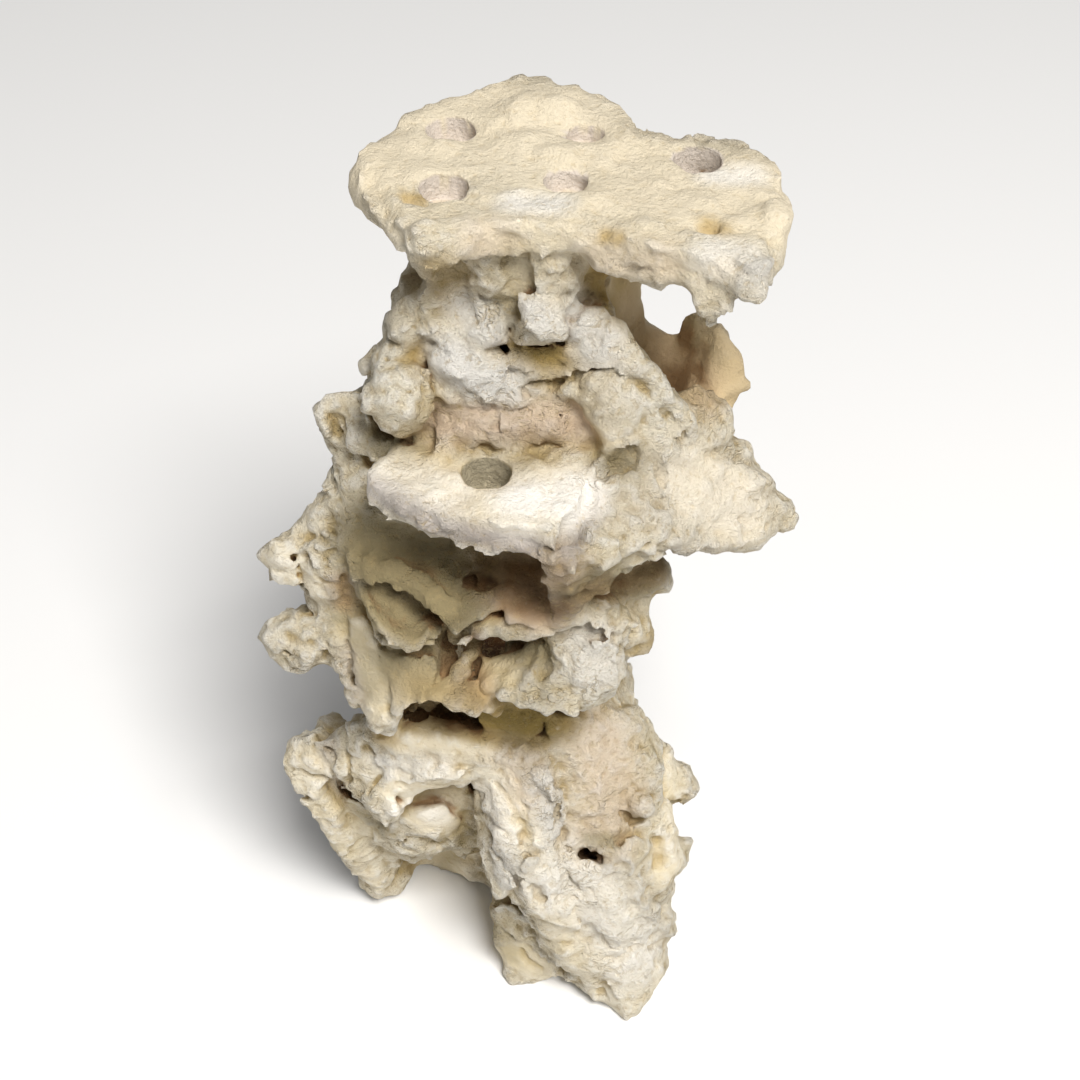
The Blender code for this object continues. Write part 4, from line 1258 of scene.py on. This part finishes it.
def keep_largest_shell(mesh):
    """Drop loose crumbs and sealed bubbles."""
    body = bmesh.new()
    body.from_mesh(mesh)
    unseen = set(body.verts)
    shells = []
    while unseen:
        shell = {unseen.pop()}
        rim = list(shell)
        while rim:
            vert = rim.pop()
            for edge in vert.link_edges:
                other = edge.other_vert(vert)
                if other not in shell:
                    shell.add(other)
                    rim.append(other)
        unseen -= shell
        shells.append(shell)
    biggest = max(shells, key=len)
    bmesh.ops.delete(body, geom=[vert for vert in body.verts if vert not in biggest], context="VERTS")
    body.to_mesh(mesh)
    body.free()


def apply_modifiers(obj):
    bpy.context.view_layer.update()
    graph = bpy.context.evaluated_depsgraph_get()
    mesh = bpy.data.meshes.new_from_object(obj.evaluated_get(graph))
    old = obj.data
    obj.modifiers.clear()
    obj.data = mesh
    bpy.data.meshes.remove(old)


def rock_object(field):
    """The field's surface as one thinned, closed mesh."""
    points, quads = closed_surface(field)
    obj = bpy.data.objects.new(NAME, mesh_from(points, quads[:, ::-1]))
    bpy.context.scene.collection.objects.link(obj)
    thin = obj.modifiers.new("Thin", "DECIMATE")
    thin.ratio = MOST_TRIANGLES / (2 * len(quads))
    thin.use_collapse_triangulate = True
    apply_modifiers(obj)
    keep_largest_shell(obj.data)
    obj.data.shade_smooth()
    obj.data.set_sharp_from_angle(angle=math.radians(SHARP_EDGE))
    return obj


def openness(field, points, ways):
    """How much of the sky over each point is free, from 0 to 1."""
    free = np.zeros(len(points), np.float32)
    total = np.zeros(len(points), np.float32)
    for i in range(SKY_WAYS):
        height = 1 - (2 * i + 1) / SKY_WAYS
        angle = i * math.pi * (3 - math.sqrt(5))
        flat = math.sqrt(1 - height * height)
        way = np.array((flat * math.cos(angle), flat * math.sin(angle), height), np.float32)
        weight = np.clip(ways @ way, 0, 1)
        facing = np.flatnonzero(weight > SKY_LEAST)
        blocked = np.zeros(len(facing), bool)
        start = points[facing] + ways[facing] * SKY_START
        for step in SKY_STEPS:
            place = ((start + way * step - field.low) / CELL).astype(int)
            ok = ((place >= 0) & (place < field.value.shape)).all(1)
            place = np.clip(place, 0, np.array(field.value.shape) - 1)
            blocked |= ok & (field.value[place[:, 0], place[:, 1], place[:, 2]] < 0)
        free[facing] += weight[facing] * ~blocked
        total[facing] += weight[facing]
    return free / np.maximum(total, TINY)


def standing_out(field, points, limit, times, gain):
    """How far each point stands out of the blurred rock: 0.5 where it doesn't, up to 1 where it does."""
    blurred = field.with_values(smooth(np.clip(field.value, -limit, limit), times))
    return np.clip(0.5 + gain * blurred.sample(points), 0, 1)


def line_share(field, points, places):
    """How strongly each point is tinted, from 0 to 1, by places along lines of pixels."""
    total = np.zeros(len(points), np.float32)
    for reach, share, *line in places:
        marks = [seen(field, u, v)[0] for u, v in line]
        for start, end in zip(marks, marks[1:]):
            far = limb(points[:, 0], points[:, 1], points[:, 2], start, end, 0, 0)
            total = np.maximum(total, share * np.clip(TINT_EDGE - far / reach, 0, 1))
    return total


def drilled_share(points, ways, top, sockets, floor_share):
    """1 on the walls of the drilled sockets, and less on their floors."""
    inside = np.zeros(len(points), bool)
    for x, y, width, depth, lean in sockets:
        down = top - points[:, 2]
        across = np.hypot(points[:, 0] - x + down * math.tan(math.radians(lean)), points[:, 1] - y)
        deep = (down > SOCKET_ROOM) & (down < depth + SOCKET_BELOW)
        inside |= (across < width / 2 + SOCKET_ROOM) & deep
    return inside * np.where(ways[:, 2] > LOOKS_UP, floor_share, 1)


def tint_values(field, worn, mesh):
    """Values per vertex that the stone material reads: hollows and edges, for painted shade and
    highlights, and tinted places, most of them painted shade and light.
    """
    points = vertex_places(mesh)
    ways = field.slope(points)
    values = {"open": openness(field, points, ways), "worn": field.with_values(worn).sample(points)}
    for name, row in GRAINS.items():
        values[name] = standing_out(field, points, *row)
    for name, (top, sockets, floor_share, _, _) in DRILLED.items():
        values[name] = drilled_share(points, ways, top, sockets, floor_share)
    for name, (_, *places) in TINTS.items():
        values[name] = line_share(field, points, places)
    for name, value in values.items():
        layer = mesh.attributes.new(name, "FLOAT", "POINT")
        layer.data.foreach_set("value", value.astype(np.float32))
    return list(values)


def feed(tree, socket, value):
    """Link a socket to another one, or set it to a constant."""
    if isinstance(value, bpy.types.NodeSocket):
        tree.links.new(value, socket)
    else:
        socket.default_value = value


def node(tree, kind, **values):
    """A new node, with its settings and what its sockets are fed, by name."""
    made = tree.nodes.new(kind)
    for name, value in values.items():
        if hasattr(made, name):
            setattr(made, name, value)
        else:
            feed(tree, made.inputs[name], value)
    return made


def maths(tree, operation, *values, kind="ShaderNodeMath"):
    """What an operation makes of sockets and constants."""
    made = node(tree, kind, operation=operation)
    for socket, value in zip(made.inputs, values):
        feed(tree, socket, value)
    return made.outputs[0]


def ramp(tree, source, stops):
    """Colours that follow a source, from stop to stop."""
    made = node(tree, "ShaderNodeValToRGB", Fac=source)
    points = made.color_ramp.elements
    while len(points) < len(stops):
        points.new(0.5)
    for point, (place, colour) in zip(points, stops):
        point.position = place
        point.color = (*colour, 1)
    return made.outputs["Color"]


def rising(tree, source, start, stop, high):
    """0 at start, rising to high at stop."""
    values = {"Value": source, "From Min": start, "From Max": stop, "To Min": 0.0, "To Max": high}
    return node(tree, "ShaderNodeMapRange", clamp=True, **values).outputs["Result"]


def mix(tree, share, first, second):
    """The first colour with a share of the second over it."""
    made = node(tree, "ShaderNodeMix", data_type="RGBA")
    for place, value in zip(MIX_INPUTS, (share, first, second)):
        feed(tree, made.inputs[place], (*value, 1) if isinstance(value, tuple) else value)
    return made.outputs[MIX_OUTPUT]


def where(tree):
    """The place in the rock, in metres."""
    made = tree.nodes.get("Where") or node(tree, "ShaderNodeTexCoord", name="Where")
    return made.outputs["Object"]


def stone_noise(tree, place, scale, detail, roughness, bend=0.0):
    """The outputs of a noise at a place."""
    values = {"Scale": scale, "Detail": detail, "Roughness": roughness, "Distortion": bend}
    return node(tree, "ShaderNodeTexNoise", Vector=place, **values).outputs


def creases(tree):
    """Fine crooked creases: 0 in a crease, 1 away from it."""
    squashed = maths(tree, "MULTIPLY", where(tree), CREASE_SQUASH, kind="ShaderNodeVectorMath")
    lumps = stone_noise(tree, squashed, *CREASE_NOISE)["Fac"]
    height = maths(tree, "ABSOLUTE", maths(tree, "SUBTRACT", lumps, 0.5))
    return rising(tree, height, 0.0, CREASE_WIDTH, 1.0)


def flakes(tree):
    """A random height for each crooked cell, so that neighbours meet in small steps."""
    bend = stone_noise(tree, where(tree), *FLAKE_NOISE)["Color"]
    reach = (FLAKE_BEND / FLAKE_SCALE,) * 3
    spread = maths(tree, "MULTIPLY_ADD", bend, reach, where(tree), kind="ShaderNodeVectorMath")
    cells = node(tree, "ShaderNodeTexVoronoi", feature="F1", Scale=FLAKE_SCALE, Vector=spread)
    return cells.outputs["Color"]


def stone_sources(tree, names):
    """What the stone's colours and bumps follow, by name."""
    made = {name: stone_noise(tree, where(tree), *row)["Fac"] for name, row in NOISES.items()}
    for name in names:
        value = node(tree, "ShaderNodeAttribute", attribute_name=name)
        made[name] = value.outputs["Fac"]
    made["rough"] = rising(tree, made["worn"], 1.0, 0.0, 1)
    made["not_olive"] = maths(tree, "SUBTRACT", 1.0, made["olive"])
    made["firm"] = maths(tree, "ADD", maths(tree, "MULTIPLY", made["rough"], 1 - FIRM_LEAST), FIRM_LEAST)
    broken = maths(tree, "MULTIPLY", rising(tree, made["zone"], *BROKEN_ZONE), made["rough"])
    made["broken"] = maths(tree, "MULTIPLY", broken, maths(tree, "SUBTRACT", 1.0, made["cream"]))
    made["crease"] = creases(tree)
    made["flake"] = flakes(tree)
    return made


def shaded(tree, sources, colour, shades):
    """The colour with each shade laid over it in turn."""
    for name, start, stop, high, mask, shade in shades:
        share = rising(tree, sources[name], start, stop, high)
        if mask:
            share = maths(tree, "MULTIPLY", share, sources[mask])
        colour = mix(tree, share, colour, shade)
    return colour


def stone_colour(tree, sources):
    """Chalky cream with painted shade, browner in the hollows and creases, and painted highlights, whiter
    on the edges, with tinted places.
    """
    colour = shaded(tree, sources, ramp(tree, sources["broad"], BASE), SHADES)
    patches = maths(tree, "ADD", rising(tree, sources["patch"], *TINT_PATCH), TINT_LEAST)
    for name, (tint, *_) in TINTS.items():
        colour = mix(tree, maths(tree, "MULTIPLY", sources[name], patches), colour, tint)
    colour = shaded(tree, sources, colour, LATE_SHADES)
    for name, (*_, dark, light) in DRILLED.items():
        colour = mix(tree, sources[name], colour, mix(tree, sources["crumb"], dark, light))
    return colour


def reef_stone(names):
    """The rock's stone, which reads the named values of the mesh."""
    material = bpy.data.materials.new("reef_stone_surface")
    material.use_nodes = True
    tree = material.node_tree
    shader = tree.nodes["Principled BSDF"]
    shader.inputs["Roughness"].default_value = STONE_ROUGHNESS
    shader.inputs["Specular IOR Level"].default_value = STONE_SPECULAR
    sources = stone_sources(tree, names)
    feed(tree, shader.inputs["Base Color"], stone_colour(tree, sources))
    into = shader.inputs["Normal"]
    for name, distance, strength in reversed(BUMPS):
        values = {"Height": sources[name], "Distance": distance, "Strength": sources[strength]}
        bump = node(tree, "ShaderNodeBump", **values)
        feed(tree, into, bump.outputs["Normal"])
        into = bump.inputs["Normal"]
    return material


def make_camera():
    data = bpy.data.cameras.new("camera")
    data.sensor_width = SENSOR
    data.lens = FOCAL / FRAME_SIDE * SENSOR
    data.clip_start = CLIP_START
    camera = bpy.data.objects.new("camera", data)
    camera.location = Vector(EYE) * MM
    camera.rotation_euler = (math.radians(90 - PITCH), 0, 0)
    bpy.context.scene.collection.objects.link(camera)
    bpy.context.scene.camera = camera


def make_floor():
    bpy.ops.mesh.primitive_plane_add(size=FLOOR_SIDE, location=(0, 0, 0))
    floor = bpy.context.object
    floor.name = "floor"
    material = bpy.data.materials.new("floor")
    material.use_nodes = True
    shader = material.node_tree.nodes["Principled BSDF"]
    shader.inputs["Base Color"].default_value = FLOOR_COLOUR
    shader.inputs["Roughness"].default_value = FLOOR_ROUGHNESS
    floor.data.materials.append(material)


def make_world():
    """Even white light from all round, and colours shown as they are."""
    bpy.context.scene.view_settings.view_transform = "Standard"
    world = bpy.data.worlds.new("studio")
    bpy.context.scene.world = world
    world.use_nodes = True
    back = world.node_tree.nodes["Background"]
    back.inputs["Color"].default_value = (1, 1, 1, 1)
    back.inputs["Strength"].default_value = WORLD_STRENGTH


def make_key():
    """One broad lamp, above and in front to the right."""
    data = bpy.data.lights.new("key", "AREA")
    data.shape = "SQUARE"
    data.size = KEY_SIDE
    data.energy = KEY_POWER
    data.color = KEY_COLOUR
    light = bpy.data.objects.new("key", data)
    light.location = KEY_PLACE
    light.rotation_euler = (Vector(KEY_TARGET) - Vector(KEY_PLACE)).to_track_quat("-Z", "Y").to_euler()
    bpy.context.scene.collection.objects.link(light)


make_camera()
make_floor()
make_world()
make_key()
field = Field(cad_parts["reef_rock"])
field.value = smooth(field.value, FIRST_SMOOTH)
worn = add_forms(field)
crumple(field, worn)
wander(field, worn)
dig_pits(field)
drill_sockets(field)
cut_feet(field)
rock = rock_object(field)
names = tint_values(field, worn, rock.data)
rock.data.materials.append(reef_stone(names))
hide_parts("reef_rock")
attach(rock, "root")
